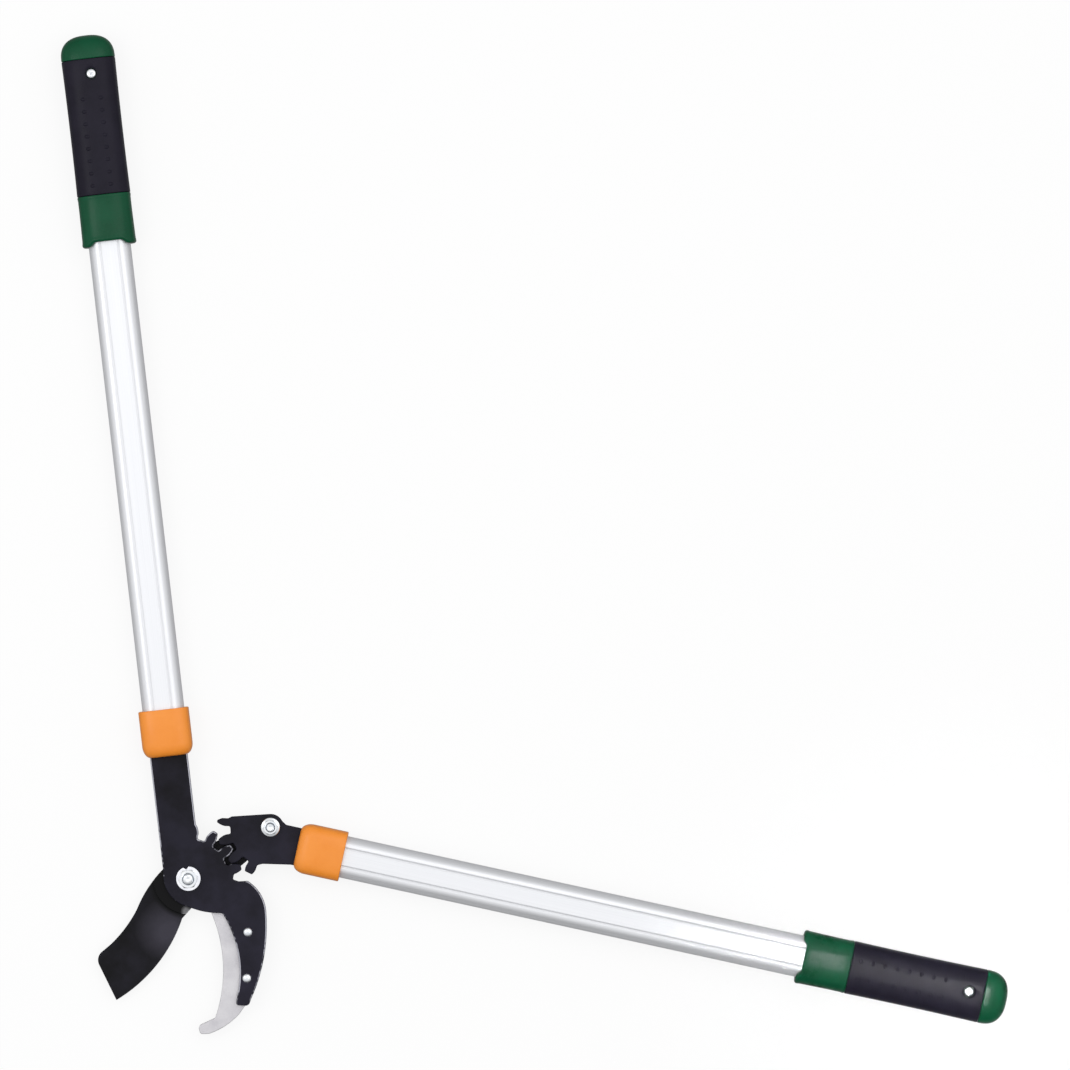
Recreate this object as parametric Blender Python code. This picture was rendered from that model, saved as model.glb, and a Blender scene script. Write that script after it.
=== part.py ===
"""A geared bypass lopper with long handles, opened wide and lying flat.

Frame: +Z up, z = 0 on the ground, the main pivot's axis at x = y = 0 and +Y along the fixed handle.
The fixed handle carries the hooked plate with its counter blade. The cutting blade turns on the main
pivot, and its tail carries the link pivot. The moving handle's toothed plate turns on the link pivot
and rolls round the teeth of the hooked plate, so it turns twice as far as the blade.

All sizes here are in millimetres and degrees, and MM turns them into metres where a mesh is made.
A corner with a third number is rounded to that radius.
"""

import math

import bmesh
import bpy
from mathutils import Vector

MM = 0.001
ORIGIN = (0.0, 0.0)
GROUND = 0.0

# Grip: a hard core with cuff and cap, and a soft sleeve between them
GRIP_LENGTH = 155.5
GRIP_THICK = 30.0
GRIP_FLAT = 17.0
GRIP_SIDE_FLAT = 6.0
CUFF_WIDTH = 40.6
CUFF_END_WIDTH = 40.0
CUFF_LENGTH = 35.2
MOUTH_LOBE = 3.5
LOBE_FROM, LOBE_TO = 0.5, 0.8
SLEEVE_WAIST_WIDTH = 39.4
SLEEVE_WAIST_AT = 45.0
CAP_WIDTH = 40.3
CAP_LENGTH = 18.5
CAP_ROUND = 16.0
CAP_END_WIDTH = 19.0
CAP_END_THICK = 11.0
CAP_BEYOND_TUBE = 21.0
CORE_SIDE_WALL = 1.1
CORE_FACE_WALL = 2.2

# Fits and layers, from the middle of the tubes downwards
FIT = 0.3
MID_HEIGHT = GROUND + GRIP_THICK / 2
PLATE_THICK = 5.0
COUNTER_THICK = 3.0
BLADE_THICK = 3.5
WASHER_THICK = 1.2
PLATE_TOP = MID_HEIGHT + PLATE_THICK / 2
PLATE_BOTTOM = MID_HEIGHT - PLATE_THICK / 2
COUNTER_TOP = PLATE_BOTTOM - FIT
COUNTER_BOTTOM = COUNTER_TOP - COUNTER_THICK
BLADE_TOP = COUNTER_BOTTOM - FIT
BLADE_BOTTOM = BLADE_TOP - BLADE_THICK
WASHER_TOP = BLADE_BOTTOM - FIT
WASHER_BOTTOM = WASHER_TOP - WASHER_THICK
HEAD_TOP = WASHER_BOTTOM - FIT

# Pivots and teeth
PIVOT_SPACING = 72.6
LINK_ANGLE = 25.5
FULL_TEETH = 15
TOOTH_ANGLE = 29.5
TOOTH_ADDENDUM = 4.0
TOOTH_DEDENDUM = 6.0
PRESSURE_ANGLE = 20.0
BACKLASH = 0.6
TOOTH_TIP_FILLET = 1.1
TOOTH_ROOT_FILLET = 1.4
STUB_SHORTER = 2.1
STUB_STEP = 2.1
STUB_FILLET = 0.8
PITCH_RADIUS = PIVOT_SPACING / 2
TOOTH_PITCH = 360.0 / FULL_TEETH
TIP_RADIUS = PITCH_RADIUS + TOOTH_ADDENDUM
ROOT_RADIUS = PITCH_RADIUS - TOOTH_DEDENDUM

# The handles as they lie: the angle between them, and where each collar starts from its pivot
HANDLE_SPREAD = 108.9
FIXED_REACH = 93.0
FIXED_OFFSET = 4.2
MOVING_REACH = 22.9
MOVING_OFFSET = -10.1
MOVING_DIRECTION = 90.0 - HANDLE_SPREAD

# Arms of the plates, with the tangs that enter the tubes
ARM_WIDTH = 28.4
TANG_WIDTH = 21.0
TANG_LENGTH = 40.0
TANG_FILLET = 3.0

# Tube: flat front and back, round sides
TUBE_WIDTH = 31.5
TUBE_THICK = 20.0
TUBE_FLAT = 16.0
TUBE_SIDE_FLAT = 2.0
TUBE_WALL = 1.5
TUBE_LENGTH = 514.0

# Collar over the joint of arm and tube
COLLAR_WIDTH = 37.8
COLLAR_THICK = 26.0
COLLAR_LENGTH = 35.2
COLLAR_FLAT = 18.0
COLLAR_SIDE_FLAT = 8.0
COLLAR_WALL = 8.7
COLLAR_NOSE = 9.0
COLLAR_NOSE_INSET = 5.7

# Core, cross pins and end plug inside the tube
CORE_LENGTH = 46.0
TANG_PINS = 2
TANG_PIN_RADIUS = 2.5
TANG_PIN_FIRST = 7.0
TANG_PIN_STEP = 12.0
PLUG_LENGTH = 22.0

# Places along a handle, from the collar's nose
TUBE_START = COLLAR_WALL + FIT
TUBE_END = TUBE_START + TUBE_LENGTH
TANG_END = TUBE_START + TANG_LENGTH
GRIP_END = TUBE_END + CAP_BEYOND_TUBE
GRIP_START = GRIP_END - GRIP_LENGTH
SLEEVE_START = GRIP_START + CUFF_LENGTH
SLEEVE_END = GRIP_END - CAP_LENGTH

# Grip screw
SCREW_RADIUS = 2.0
SCREW_HEAD_RADIUS = 3.75
SCREW_HEAD_THICK = 1.6
SCREW_RECESS_RADIUS = 4.6
SCREW_FROM_END = 29.7
SCREW_ASIDE = 1.6
SCREW_LENGTH = 16.0

# Main pivot: an M8 bolt with its nut, washers and bush
PIVOT_BOLT_RADIUS = 4.0
PIVOT_HEAD_RADIUS = 9.0
PIVOT_WASHER_RADIUS = 10.5
TAB_WASHER_RADIUS = 9.2
TAB_NOTCH_WIDTH = 4.0
TAB_NOTCH_DEPTH = 2.2
TAB_NOTCH_ANGLE = 96.0
PIVOT_NUT_FLATS = 13.0
PIVOT_NUT_THICK = 6.5
STUD_PROUD = 1.0
BUSH_WALL = 1.6
EDGE_BREAK = 0.7

# Link pivot: an M6 bolt with its flange nut, washer, spacer and bush
LINK_BOLT_RADIUS = 3.0
LINK_HEAD_RADIUS = 6.5
LINK_HEAD_THICK = 2.6
LINK_WASHER_RADIUS = 7.5
LINK_NUT_FLATS = 10.0
LINK_NUT_THICK = 6.0
LINK_FLANGE_RADIUS = 7.1
LINK_FLANGE_THICK = 1.3

# Toothed plate: boss round the link pivot, slanting top, finger ahead of the teeth, and belly.
# The finger's corners are a height above the tooth roots and an angle from the finger's middle.
BOSS_RADIUS = 9.8
BOSS_START = 40.0
TOP_SLANT = 16.0
TOP_LENGTH = 28.6
TOP_FILLET = 2.0
FINGER_BACK = ((2.3, -3.7, 2.0), (6.8, -2.6, 2.0), (10.0, 0.2, 1.0))
BELLY_DEPTH = 28.2
BELLY_FILLET = 3.0
ARM_ROOT = 11.0
ARM_ROOT_FILLET = 2.5
ARM_SQUARE = 2.0
ARM_SQUARE_FILLET = 4.0

# Cutting blade: hub, raised pad round the pivot, tail, and the bevel behind the edge
HUB_RADIUS = 15.5
PAD_RADIUS = 27.0
TAIL_END_RADIUS = 8.5
BLADE_BEVEL = 9.0
EDGE_LAND = 0.5
BLADE_BACK_UPPER = ((-10.0, 15.2), (-28.5, -0.4), (-41.7, -19.0))
BLADE_BACK_LOWER = ((-41.7, -19.0), (-53.0, -32.9), (-64.0, -42.6))
BLADE_TIP_BACK = (-76.6, -50.9, 8.0)
BLADE_TIP_EDGE = (-64.6, -84.7)
BLADE_EDGE = ((-61.0, -83.0), (-35.0, -65.3), (-8.5, -29.5))
BLADE_HEEL = (4.5, -18.0)

# Hooked plate, anticlockwise seen from above, from the arm's left edge to the notch before the teeth
PLATE_CORNER = ((-18.2, 7.0), (-13.9, -12.6), (-2.0, -21.3))
PLATE_BELLY = ((-2.0, -21.3), (9.4, -26.2), (19.0, -28.2))
PLATE_THROAT = (22.2, -28.6, 4.0)
COVER_INNER = ((24.6, -34.0), (30.6, -65.0), (25.3, -94.5))
COVER_TIP = ((24.6, -98.4, 2.6), (33.9, -100.0, 3.6))
COVER_OUTER = ((36.0, -95.6), (48.4, -68.5), (54.9, -33.0))
COVER_SHOULDER = ((54.9, -33.0), (52.2, -17.5), (43.8, -6.9))
NOTCH_FLOOR = ((37.2, -6.5, 1.5), (32.9, -4.6, 1.2))

# Counter blade and the rivets that hold it behind the hook
COUNTER_INNER = ((13.0, -25.0), (18.2, -66.0), (9.4, -102.6))
COUNTER_TIP = ((7.6, -106.4, 3.0), (-5.6, -110.6, 3.4), (-5.0, -117.2, 2.6))
COUNTER_UNDER = ((2.0, -117.6), (13.0, -113.9), (26.2, -105.3))
COUNTER_OUTER = ((33.0, -97.6), (44.5, -66.0), (50.5, -34.0))
COUNTER_TOP_CORNER = (46.0, -17.0, 5.0)
COUNTER_TOP_ANGLE = -24.0
COUNTER_CLEARANCE = 1.0
RIVETS = {"upper": (39.6, -45.0), "lower": (34.9, -79.2)}
RIVET_RADIUS = 2.2
RIVET_HEAD_RADIUS = 3.3
RIVET_HEAD_THICK = 1.4
RIVET_FLARE = 1.2

# How finely round shapes are cut
OUTLINE_SAG = 0.03
TURNED_SAG = 0.08
TURNED_LEAST = 16
CORNER_STEPS = 5
DOME_STEPS = 3
FLANK_STEPS = 3
SHARP_ANGLE = 35.0

# How a cutter overruns its wall, how near points are merged, how much of a side a corner may use
CUT_PAST = 5.0
MERGE = 0.0001
CORNER_SHARE = 0.48

FINISHES = {
    "coated_steel": ((0.012, 0.011, 0.016), 0.3, 0.42),
    "bright_steel": ((0.62, 0.62, 0.65), 1.0, 0.32),
    "zinc": ((0.78, 0.79, 0.82), 1.0, 0.22),
    "aluminium": ((0.86, 0.86, 0.88), 1.0, 0.3),
    "bronze": ((0.55, 0.36, 0.16), 1.0, 0.4),
    "orange_plastic": ((0.95, 0.22, 0.02), 0.0, 0.42),
    "green_plastic": ((0.01, 0.1, 0.05), 0.0, 0.38),
    "black_rubber": ((0.014, 0.013, 0.018), 0.0, 0.7),
    "nylon": ((0.7, 0.69, 0.65), 0.0, 0.5),
}


def polar(radius, degrees, centre=ORIGIN):
    angle = math.radians(degrees)
    return (centre[0] + radius * math.cos(angle), centre[1] + radius * math.sin(angle))


def round_steps(radius, degrees, sag=OUTLINE_SAG):
    """How many chords an arc needs so that none leaves it by more than the sag."""
    chord = 2 * math.degrees(math.acos(1 - min(sag / radius, 0.5)))
    return max(2, math.ceil(abs(degrees) / chord))


def circle_through(start, via, end):
    """Centre and radius of the circle through three points, and the side it turns to."""
    (ax, ay), (bx, by), (cx, cy) = start, via, end
    area = 2 * (ax * (by - cy) + bx * (cy - ay) + cx * (ay - by))
    a2, b2, c2 = ax * ax + ay * ay, bx * bx + by * by, cx * cx + cy * cy
    x = (a2 * (by - cy) + b2 * (cy - ay) + c2 * (ay - by)) / area
    y = (a2 * (cx - bx) + b2 * (ax - cx) + c2 * (bx - ax)) / area
    return (x, y), math.hypot(ax - x, ay - y), area > 0


def sweep(centre, radius, first, last):
    """Points along an arc from one angle to another."""
    steps = round_steps(radius, last - first)
    return [polar(radius, first + (last - first) * k / steps, centre) for k in range(steps + 1)]


def arc(start, via, end):
    """Points along the circle through three points, both ends included."""
    centre, radius, left = circle_through(start, via, end)
    first = math.degrees(math.atan2(start[1] - centre[1], start[0] - centre[0]))
    last = math.degrees(math.atan2(end[1] - centre[1], end[0] - centre[0]))
    turn = (last - first) % 360 if left else -((first - last) % 360)
    return sweep(centre, radius, first, first + turn)


def rounded(corners):
    """The outline with each (x, y, radius) corner replaced by an arc that touches both its sides."""
    outline = []
    for index, corner in enumerate(corners):
        here = Vector(corner[:2])
        if len(corner) < 3:
            outline.append(tuple(here))
            continue
        back = Vector(corners[index - 1][:2]) - here
        ahead = Vector(corners[(index + 1) % len(corners)][:2]) - here
        half = back.angle(ahead) / 2
        longest = CORNER_SHARE * min(back.length, ahead.length)
        reach = min(corner[2] / math.tan(half), longest)
        back.normalize()
        ahead.normalize()
        centre = here + (back + ahead).normalized() * reach / math.cos(half)
        radius = reach * math.tan(half)
        steps = round_steps(radius, 180.0 - 2 * math.degrees(half))
        for k in range(steps + 1):
            chord = (here + back * reach).lerp(here + ahead * reach, k / steps) - centre
            outline.append(tuple(centre + chord.normalized() * radius))
    return outline


def frame(name, place, turn=0.0, parent=None):
    """An empty that holds the pieces of one handle or one pivot."""
    made = bpy.data.objects.new(name, None)
    made.empty_display_size = HUB_RADIUS * MM
    made.location = (place[0] * MM, place[1] * MM, 0.0)
    made.rotation_euler = (0.0, 0.0, math.radians(turn))
    made.parent = parent
    bpy.context.scene.collection.objects.link(made)
    return made


def material(name, finish):
    colour, metallic, roughness = FINISHES[finish]
    made = bpy.data.materials.new(f"{name}_{finish}")
    made.use_nodes = True
    made.diffuse_color = (*colour, 1.0)
    shader = made.node_tree.nodes["Principled BSDF"]
    shader.inputs["Base Color"].default_value = (*colour, 1.0)
    shader.inputs["Metallic"].default_value = metallic
    shader.inputs["Roughness"].default_value = roughness
    return made


def solid(name, shape, parent, finish=None):
    """The object made from a bmesh in millimetres. Without a finish it is a hidden cutter."""
    bmesh.ops.scale(shape, vec=(MM, MM, MM), verts=shape.verts)
    bmesh.ops.recalc_face_normals(shape, faces=shape.faces)
    mesh = bpy.data.meshes.new(name)
    shape.to_mesh(mesh)
    shape.free()
    mesh.shade_smooth()
    mesh.set_sharp_from_angle(angle=math.radians(SHARP_ANGLE))
    made = bpy.data.objects.new(name, mesh)
    made.parent = parent
    bpy.context.scene.collection.objects.link(made)
    if finish:
        mesh.materials.append(material(name, finish))
    else:
        made.hide_render = True
        made.display_type = "WIRE"
    return made


def skin(shape, rings, around=False):
    """Faces between neighbouring rings, and from the last ring to the first where it goes around."""
    for lower, upper in zip(rings, rings[1:] + rings[:1] if around else rings[1:]):
        for k in range(len(lower)):
            shape.faces.new((lower[k - 1], lower[k], upper[k], upper[k - 1]))


def through_rings(rings, around=False):
    """A solid through rings of points: closed by end faces, or hollow where it goes around."""
    shape = bmesh.new()
    made = [[shape.verts.new(point) for point in points] for points in rings]
    skin(shape, made, around)
    if not around:
        shape.faces.new(reversed(made[0]))
        shape.faces.new(made[-1])
    return shape


def at_height(outline, height):
    return [(x, y, height) for x, y in outline]


def slab(outline, bottom, top):
    """A flat plate of one outline."""
    shape = bmesh.new()
    base = shape.faces.new([shape.verts.new(point) for point in at_height(outline, bottom)])
    raised = bmesh.ops.extrude_face_region(shape, geom=[base])["geom"]
    moved = [item for item in raised if isinstance(item, bmesh.types.BMVert)]
    bmesh.ops.translate(shape, vec=(0.0, 0.0, top - bottom), verts=moved)
    return shape


def turned(profile, centre=ORIGIN, closed=False):
    """A turned shape about an upright axis, from its (radius, height) profile."""
    shape = bmesh.new()
    points = [shape.verts.new((radius, 0.0, height)) for radius, height in profile]
    pairs = list(zip(points, points[1:] + points[:1] if closed else points[1:]))
    edges = [shape.edges.new(pair) for pair in pairs]
    widest = max(radius for radius, height in profile)
    bmesh.ops.spin(
        shape,
        geom=points + edges,
        cent=(0.0, 0.0, 0.0),
        axis=(0.0, 0.0, 1.0),
        angle=math.tau,
        steps=max(TURNED_LEAST, round_steps(widest, 360.0, TURNED_SAG)),
        use_merge=True,
    )
    bmesh.ops.remove_doubles(shape, verts=shape.verts, dist=MERGE)
    bmesh.ops.translate(shape, vec=(*centre, 0.0), verts=shape.verts)
    return shape


def ring(inner, outer, bottom, top, centre=ORIGIN):
    """A plain washer, spacer or bush."""
    return turned([(outer, bottom), (outer, top), (inner, top), (inner, bottom)], centre, closed=True)


def rod(radius, bottom, top, centre=ORIGIN):
    return turned([(0.0, bottom), (radius, bottom), (radius, top), (0.0, top)], centre)


def bolt(radius, end, head_radius, head_bottom, head_top, centre=ORIGIN):
    """A low round head below and a plain stud above, with broken edges."""
    profile = [
        (0.0, head_bottom),
        (head_radius - EDGE_BREAK, head_bottom),
        (head_radius, head_bottom + EDGE_BREAK),
        (head_radius, head_top),
        (radius, head_top),
        (radius, end - EDGE_BREAK),
        (radius - EDGE_BREAK, end),
        (0.0, end),
    ]
    return turned(profile, centre)


def hexagon(flats, centre=ORIGIN):
    return [polar(flats / math.sqrt(3), 60.0 * k, centre) for k in range(6)]


def box(low, high):
    shape = bmesh.new()
    bmesh.ops.create_cube(shape, size=1.0)
    size = Vector(high) - Vector(low)
    bmesh.ops.scale(shape, vec=size, verts=shape.verts)
    bmesh.ops.translate(shape, vec=Vector(low) + size / 2, verts=shape.verts)
    return shape


def boolean(target, other, operation):
    step = target.modifiers.new(other.name, "BOOLEAN")
    step.object = other
    step.operation = operation


def cut(target, shape, label):
    """Takes a shape away from an object that has the same parent."""
    cutter = solid(f"{target.name}_{label}", shape, target.parent)
    boolean(target, cutter, "DIFFERENCE")


def drill(target, radius, centre=ORIGIN, bottom=GROUND - CUT_PAST, label="hole"):
    """A round upright hole, open at the top."""
    top = GROUND + GRIP_THICK + CUT_PAST
    cut(target, rod(radius, bottom, top, centre), label)


def involute(degrees):
    angle = math.radians(degrees)
    return math.degrees(math.tan(angle) - angle)


def flank(middle, side, tip=TIP_RADIUS):
    """One side of a tooth from root to tip. The side is -1 for the clockwise one, 1 for the other."""
    tilt = math.cos(math.radians(PRESSURE_ANGLE))
    base = PITCH_RADIUS * tilt
    slack = math.degrees(BACKLASH / 4 / tilt / PITCH_RADIUS)
    half_at_base = TOOTH_PITCH / 4 - slack + involute(PRESSURE_ANGLE)
    points = [(*polar(ROOT_RADIUS, middle + side * half_at_base), TOOTH_ROOT_FILLET)]
    for k in range(FLANK_STEPS + 1):
        radius = base + (tip - base) * k / FLANK_STEPS
        pressure = math.degrees(math.acos(base / radius))
        points.append(polar(radius, middle + side * (half_at_base - involute(pressure))))
    points[-1] += (TOOTH_TIP_FILLET,)
    return points


def tooth(middle, tip=TIP_RADIUS):
    return flank(middle, -1, tip) + flank(middle, 1, tip)[::-1]


def arm_end(reach, offset):
    """The arm's end and its tang in the tube, for a handle along +X. It goes round anticlockwise."""
    shoulder = reach + COLLAR_WALL - FIT
    end = reach + TANG_END
    half_arm, half_tang = ARM_WIDTH / 2, TANG_WIDTH / 2
    return [
        (shoulder, offset - half_arm),
        (shoulder, offset - half_tang),
        (end, offset - half_tang, TANG_FILLET),
        (end, offset + half_tang, TANG_FILLET),
        (shoulder, offset + half_tang),
        (shoulder, offset + half_arm),
    ]


def hooked_plate_outline():
    """The fixed plate, anticlockwise from the arm's right edge."""
    arm = [(-corner[1], corner[0], *corner[2:]) for corner in arm_end(FIXED_REACH, FIXED_OFFSET)]
    stub = flank(TOOTH_ANGLE + 2 * TOOTH_PITCH, -1, TIP_RADIUS - STUB_SHORTER / 2)
    arm_right = ARM_WIDTH / 2 - FIXED_OFFSET
    return rounded(
        [
            *arm,
            *arc(*PLATE_CORNER),
            *arc(*PLATE_BELLY)[1:],
            PLATE_THROAT,
            *arc(*COVER_INNER),
            *COVER_TIP,
            *arc(*COVER_OUTER),
            *arc(*COVER_SHOULDER)[1:],
            *NOTCH_FLOOR,
            *tooth(TOOTH_ANGLE - TOOTH_PITCH)[1:],
            *tooth(TOOTH_ANGLE),
            *tooth(TOOTH_ANGLE + TOOTH_PITCH),
            *stub,
            (arm_right, stub[-1][1] + STUB_STEP, STUB_FILLET),
        ]
    )


def toothed_plate_outline():
    """The moving plate about the link pivot, with its handle along +X, anticlockwise from the arm."""
    mesh_valley = TOOTH_ANGLE - TOOTH_PITCH / 2 - LINK_ANGLE
    third = LINK_ANGLE + 180.0 - mesh_valley - MOVING_DIRECTION
    finger = third - 2 * TOOTH_PITCH
    crest = polar(BOSS_RADIUS, 90.0 + TOP_SLANT)
    return rounded(
        [
            *arm_end(MOVING_REACH, MOVING_OFFSET),
            (ARM_ROOT, MOVING_OFFSET + ARM_WIDTH / 2, ARM_ROOT_FILLET),
            *sweep(ORIGIN, BOSS_RADIUS, BOSS_START, 90.0 + TOP_SLANT),
            (*polar(TOP_LENGTH, 180.0 + TOP_SLANT, crest), TOP_FILLET),
            *((*polar(ROOT_RADIUS + up, finger + turn), fillet) for up, turn, fillet in FINGER_BACK),
            *flank(finger, 1)[::-1],
            *tooth(third - TOOTH_PITCH),
            *tooth(third),
            *tooth(third + TOOTH_PITCH, TIP_RADIUS - STUB_SHORTER),
            (0.0, -BELLY_DEPTH, BELLY_FILLET),
            (MOVING_REACH - ARM_SQUARE, MOVING_OFFSET - ARM_WIDTH / 2, ARM_SQUARE_FILLET),
        ]
    )


def blade_outlines():
    """The blade's flat face, and its bevelled face with the edge drawn in. Both go anticlockwise."""
    link = polar(PIVOT_SPACING, LINK_ANGLE)
    touch = math.degrees(math.acos((HUB_RADIUS - TAIL_END_RADIUS) / PIVOT_SPACING))
    body = rounded(
        [
            BLADE_HEEL,
            *sweep(link, TAIL_END_RADIUS, LINK_ANGLE - touch, LINK_ANGLE + touch),
            polar(HUB_RADIUS, LINK_ANGLE + touch),
            *arc(*BLADE_BACK_UPPER),
            *arc(*BLADE_BACK_LOWER)[1:],
            BLADE_TIP_BACK,
            BLADE_TIP_EDGE,
        ]
    )[:-1]
    edge = [BLADE_TIP_EDGE, *arc(*BLADE_EDGE)]
    centre = Vector(circle_through(*BLADE_EDGE)[0])
    drawn_in = []
    for k, point in enumerate(edge):
        inwards = (centre if k else Vector(BLADE_TIP_BACK[:2])) - Vector(point)
        drawn_in.append(tuple(Vector(point) + inwards.normalized() * BLADE_BEVEL))
    return body + edge, body + drawn_in


def counter_blade_outline():
    """The counter blade behind the hook, anticlockwise, hollowed to clear the cutting blade's pad."""
    start = COUNTER_INNER[0]
    last = math.degrees(math.atan2(start[1], start[0]))
    return rounded(
        [
            *arc(*COUNTER_INNER),
            *COUNTER_TIP,
            *arc(*COUNTER_UNDER),
            *arc(*COUNTER_OUTER),
            COUNTER_TOP_CORNER,
            *sweep(ORIGIN, PAD_RADIUS + COUNTER_CLEARANCE, COUNTER_TOP_ANGLE, last)[:-1],
        ]
    )


def lobe_share(y, width):
    """How far a lobed ring reaches forwards: not at all in its middle, and fully at its sides."""
    share = (2 * abs(y) / width - LOBE_FROM) / (LOBE_TO - LOBE_FROM)
    share = min(max(share, 0.0), 1.0)
    return share * share * (3 - 2 * share)


def oval(at, width, thick, flat, side_flat, lobe=0.0):
    """A ring across a handle: flat front, back and sides with round corners between them."""
    points = []
    for quarter, (side, face) in enumerate(((1, 1), (-1, 1), (-1, -1), (1, -1))):
        for k in range(CORNER_STEPS + 1):
            angle = math.radians(90.0 * (quarter + k / CORNER_STEPS))
            y = side * flat / 2 + (width - flat) / 2 * math.cos(angle)
            z = face * side_flat / 2 + (thick - side_flat) / 2 * math.sin(angle)
            points.append((at - lobe * lobe_share(y, width), y, MID_HEIGHT + z))
    return points


def tube_ring(at, side_grow=0.0, face_grow=None):
    """A ring of the tube's section, grown by an amount at its sides and at its faces."""
    face_grow = side_grow if face_grow is None else face_grow
    width, thick = TUBE_WIDTH + 2 * side_grow, TUBE_THICK + 2 * face_grow
    return oval(at, width, thick, TUBE_FLAT, TUBE_SIDE_FLAT)


def grip_ring(at, width, thick=GRIP_THICK, lobe=0.0):
    return oval(at, width, thick, GRIP_FLAT, GRIP_SIDE_FLAT, lobe)


def collar_ring(at, inset):
    width, thick = COLLAR_WIDTH - 2 * inset, COLLAR_THICK - 2 * inset
    return oval(at, width, thick, COLLAR_FLAT, COLLAR_SIDE_FLAT - inset)


def pin_places():
    return [TUBE_START + TANG_PIN_FIRST + TANG_PIN_STEP * k for k in range(TANG_PINS)]


def make_hooked_plate(root):
    shape = slab(hooked_plate_outline(), PLATE_BOTTOM, PLATE_TOP)
    plate = solid("hooked_plate", shape, root, "coated_steel")
    drill(plate, PIVOT_BOLT_RADIUS + FIT, label="pivot_hole")
    for name, place in RIVETS.items():
        drill(plate, RIVET_RADIUS + FIT, place, label=f"{name}_rivet_hole")
    for number, along in enumerate(pin_places(), start=1):
        place = (-FIXED_OFFSET, FIXED_REACH + along)
        drill(plate, TANG_PIN_RADIUS + FIT, place, label=f"pin_hole_{number}")


def make_toothed_plate(link):
    shape = slab(toothed_plate_outline(), PLATE_BOTTOM, PLATE_TOP)
    plate = solid("toothed_plate", shape, link, "coated_steel")
    drill(plate, LINK_BOLT_RADIUS + BUSH_WALL + 2 * FIT, label="pivot_hole")
    for number, along in enumerate(pin_places(), start=1):
        place = (MOVING_REACH + along, MOVING_OFFSET)
        drill(plate, TANG_PIN_RADIUS + FIT, place, label=f"pin_hole_{number}")


def make_counter_blade(root):
    shape = slab(counter_blade_outline(), COUNTER_BOTTOM, COUNTER_TOP)
    steel = solid("counter_blade", shape, root, "bright_steel")
    hole = RIVET_RADIUS + FIT
    flare = hole + RIVET_FLARE
    for name, place in RIVETS.items():
        profile = [
            (0.0, COUNTER_BOTTOM - CUT_PAST),
            (flare, COUNTER_BOTTOM - CUT_PAST),
            (flare, COUNTER_BOTTOM),
            (hole, COUNTER_BOTTOM + RIVET_FLARE),
            (hole, COUNTER_TOP + CUT_PAST),
            (0.0, COUNTER_TOP + CUT_PAST),
        ]
        cut(steel, turned(profile, place), f"{name}_rivet_hole")


def make_rivet(root, name, place):
    """A domed head above the hooked plate and a flared end flush with the counter blade's back."""
    seat = PLATE_TOP + FIT
    profile = [
        (0.0, COUNTER_BOTTOM),
        (RIVET_RADIUS + RIVET_FLARE - FIT, COUNTER_BOTTOM),
        (RIVET_RADIUS, COUNTER_BOTTOM + RIVET_FLARE),
        (RIVET_RADIUS, seat),
    ]
    for k in range(DOME_STEPS):
        height = seat + RIVET_HEAD_THICK * math.sin(math.radians(90.0 * k / DOME_STEPS))
        profile.append((RIVET_HEAD_RADIUS * math.cos(math.radians(90.0 * k / DOME_STEPS)), height))
    profile.append((0.0, seat + RIVET_HEAD_THICK))
    solid(f"{name}_rivet", turned(profile, place), root, "zinc")


def make_blade(pivot):
    flat_face, bevelled_face = blade_outlines()
    rings = [
        at_height(bevelled_face, BLADE_BOTTOM),
        at_height(flat_face, BLADE_TOP - EDGE_LAND),
        at_height(flat_face, COUNTER_TOP),
    ]
    blade = solid("cutting_blade", through_rings(rings), pivot, "coated_steel")
    reach = max(math.hypot(x, y) for x, y in flat_face) + CUT_PAST
    cut(blade, ring(PAD_RADIUS, reach, BLADE_TOP, COUNTER_TOP + CUT_PAST), "round_the_pad")
    drill(blade, PIVOT_BOLT_RADIUS + BUSH_WALL + 2 * FIT, label="pivot_hole")
    drill(blade, LINK_BOLT_RADIUS + FIT, polar(PIVOT_SPACING, LINK_ANGLE), label="link_hole")


def tab_washer_outline():
    half = math.degrees(math.asin(TAB_NOTCH_WIDTH / 2 / TAB_WASHER_RADIUS))
    rim = sweep(ORIGIN, TAB_WASHER_RADIUS, TAB_NOTCH_ANGLE + half, TAB_NOTCH_ANGLE + 360.0 - half)
    return [*rim, polar(TAB_WASHER_RADIUS - TAB_NOTCH_DEPTH, TAB_NOTCH_ANGLE)]


def make_main_pivot(root):
    hole = PIVOT_BOLT_RADIUS + FIT
    tab_bottom = PLATE_TOP + FIT
    tab_top = tab_bottom + WASHER_THICK
    nut_bottom = tab_top + FIT
    nut_top = nut_bottom + PIVOT_NUT_THICK
    stud = bolt(PIVOT_BOLT_RADIUS, nut_top + STUD_PROUD, PIVOT_HEAD_RADIUS, GROUND, HEAD_TOP)
    solid("pivot_bolt", stud, root, "zinc")
    washer = ring(hole, PIVOT_WASHER_RADIUS, WASHER_BOTTOM, WASHER_TOP)
    solid("pivot_back_washer", washer, root, "zinc")
    bush = ring(hole, hole + BUSH_WALL, BLADE_BOTTOM, COUNTER_TOP)
    solid("pivot_bush", bush, root, "bronze")
    tab = solid("pivot_tab_washer", slab(tab_washer_outline(), tab_bottom, tab_top), root, "zinc")
    drill(tab, hole)
    nut = solid("pivot_nut", slab(hexagon(PIVOT_NUT_FLATS), nut_bottom, nut_top), root, "zinc")
    drill(nut, hole)


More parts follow.
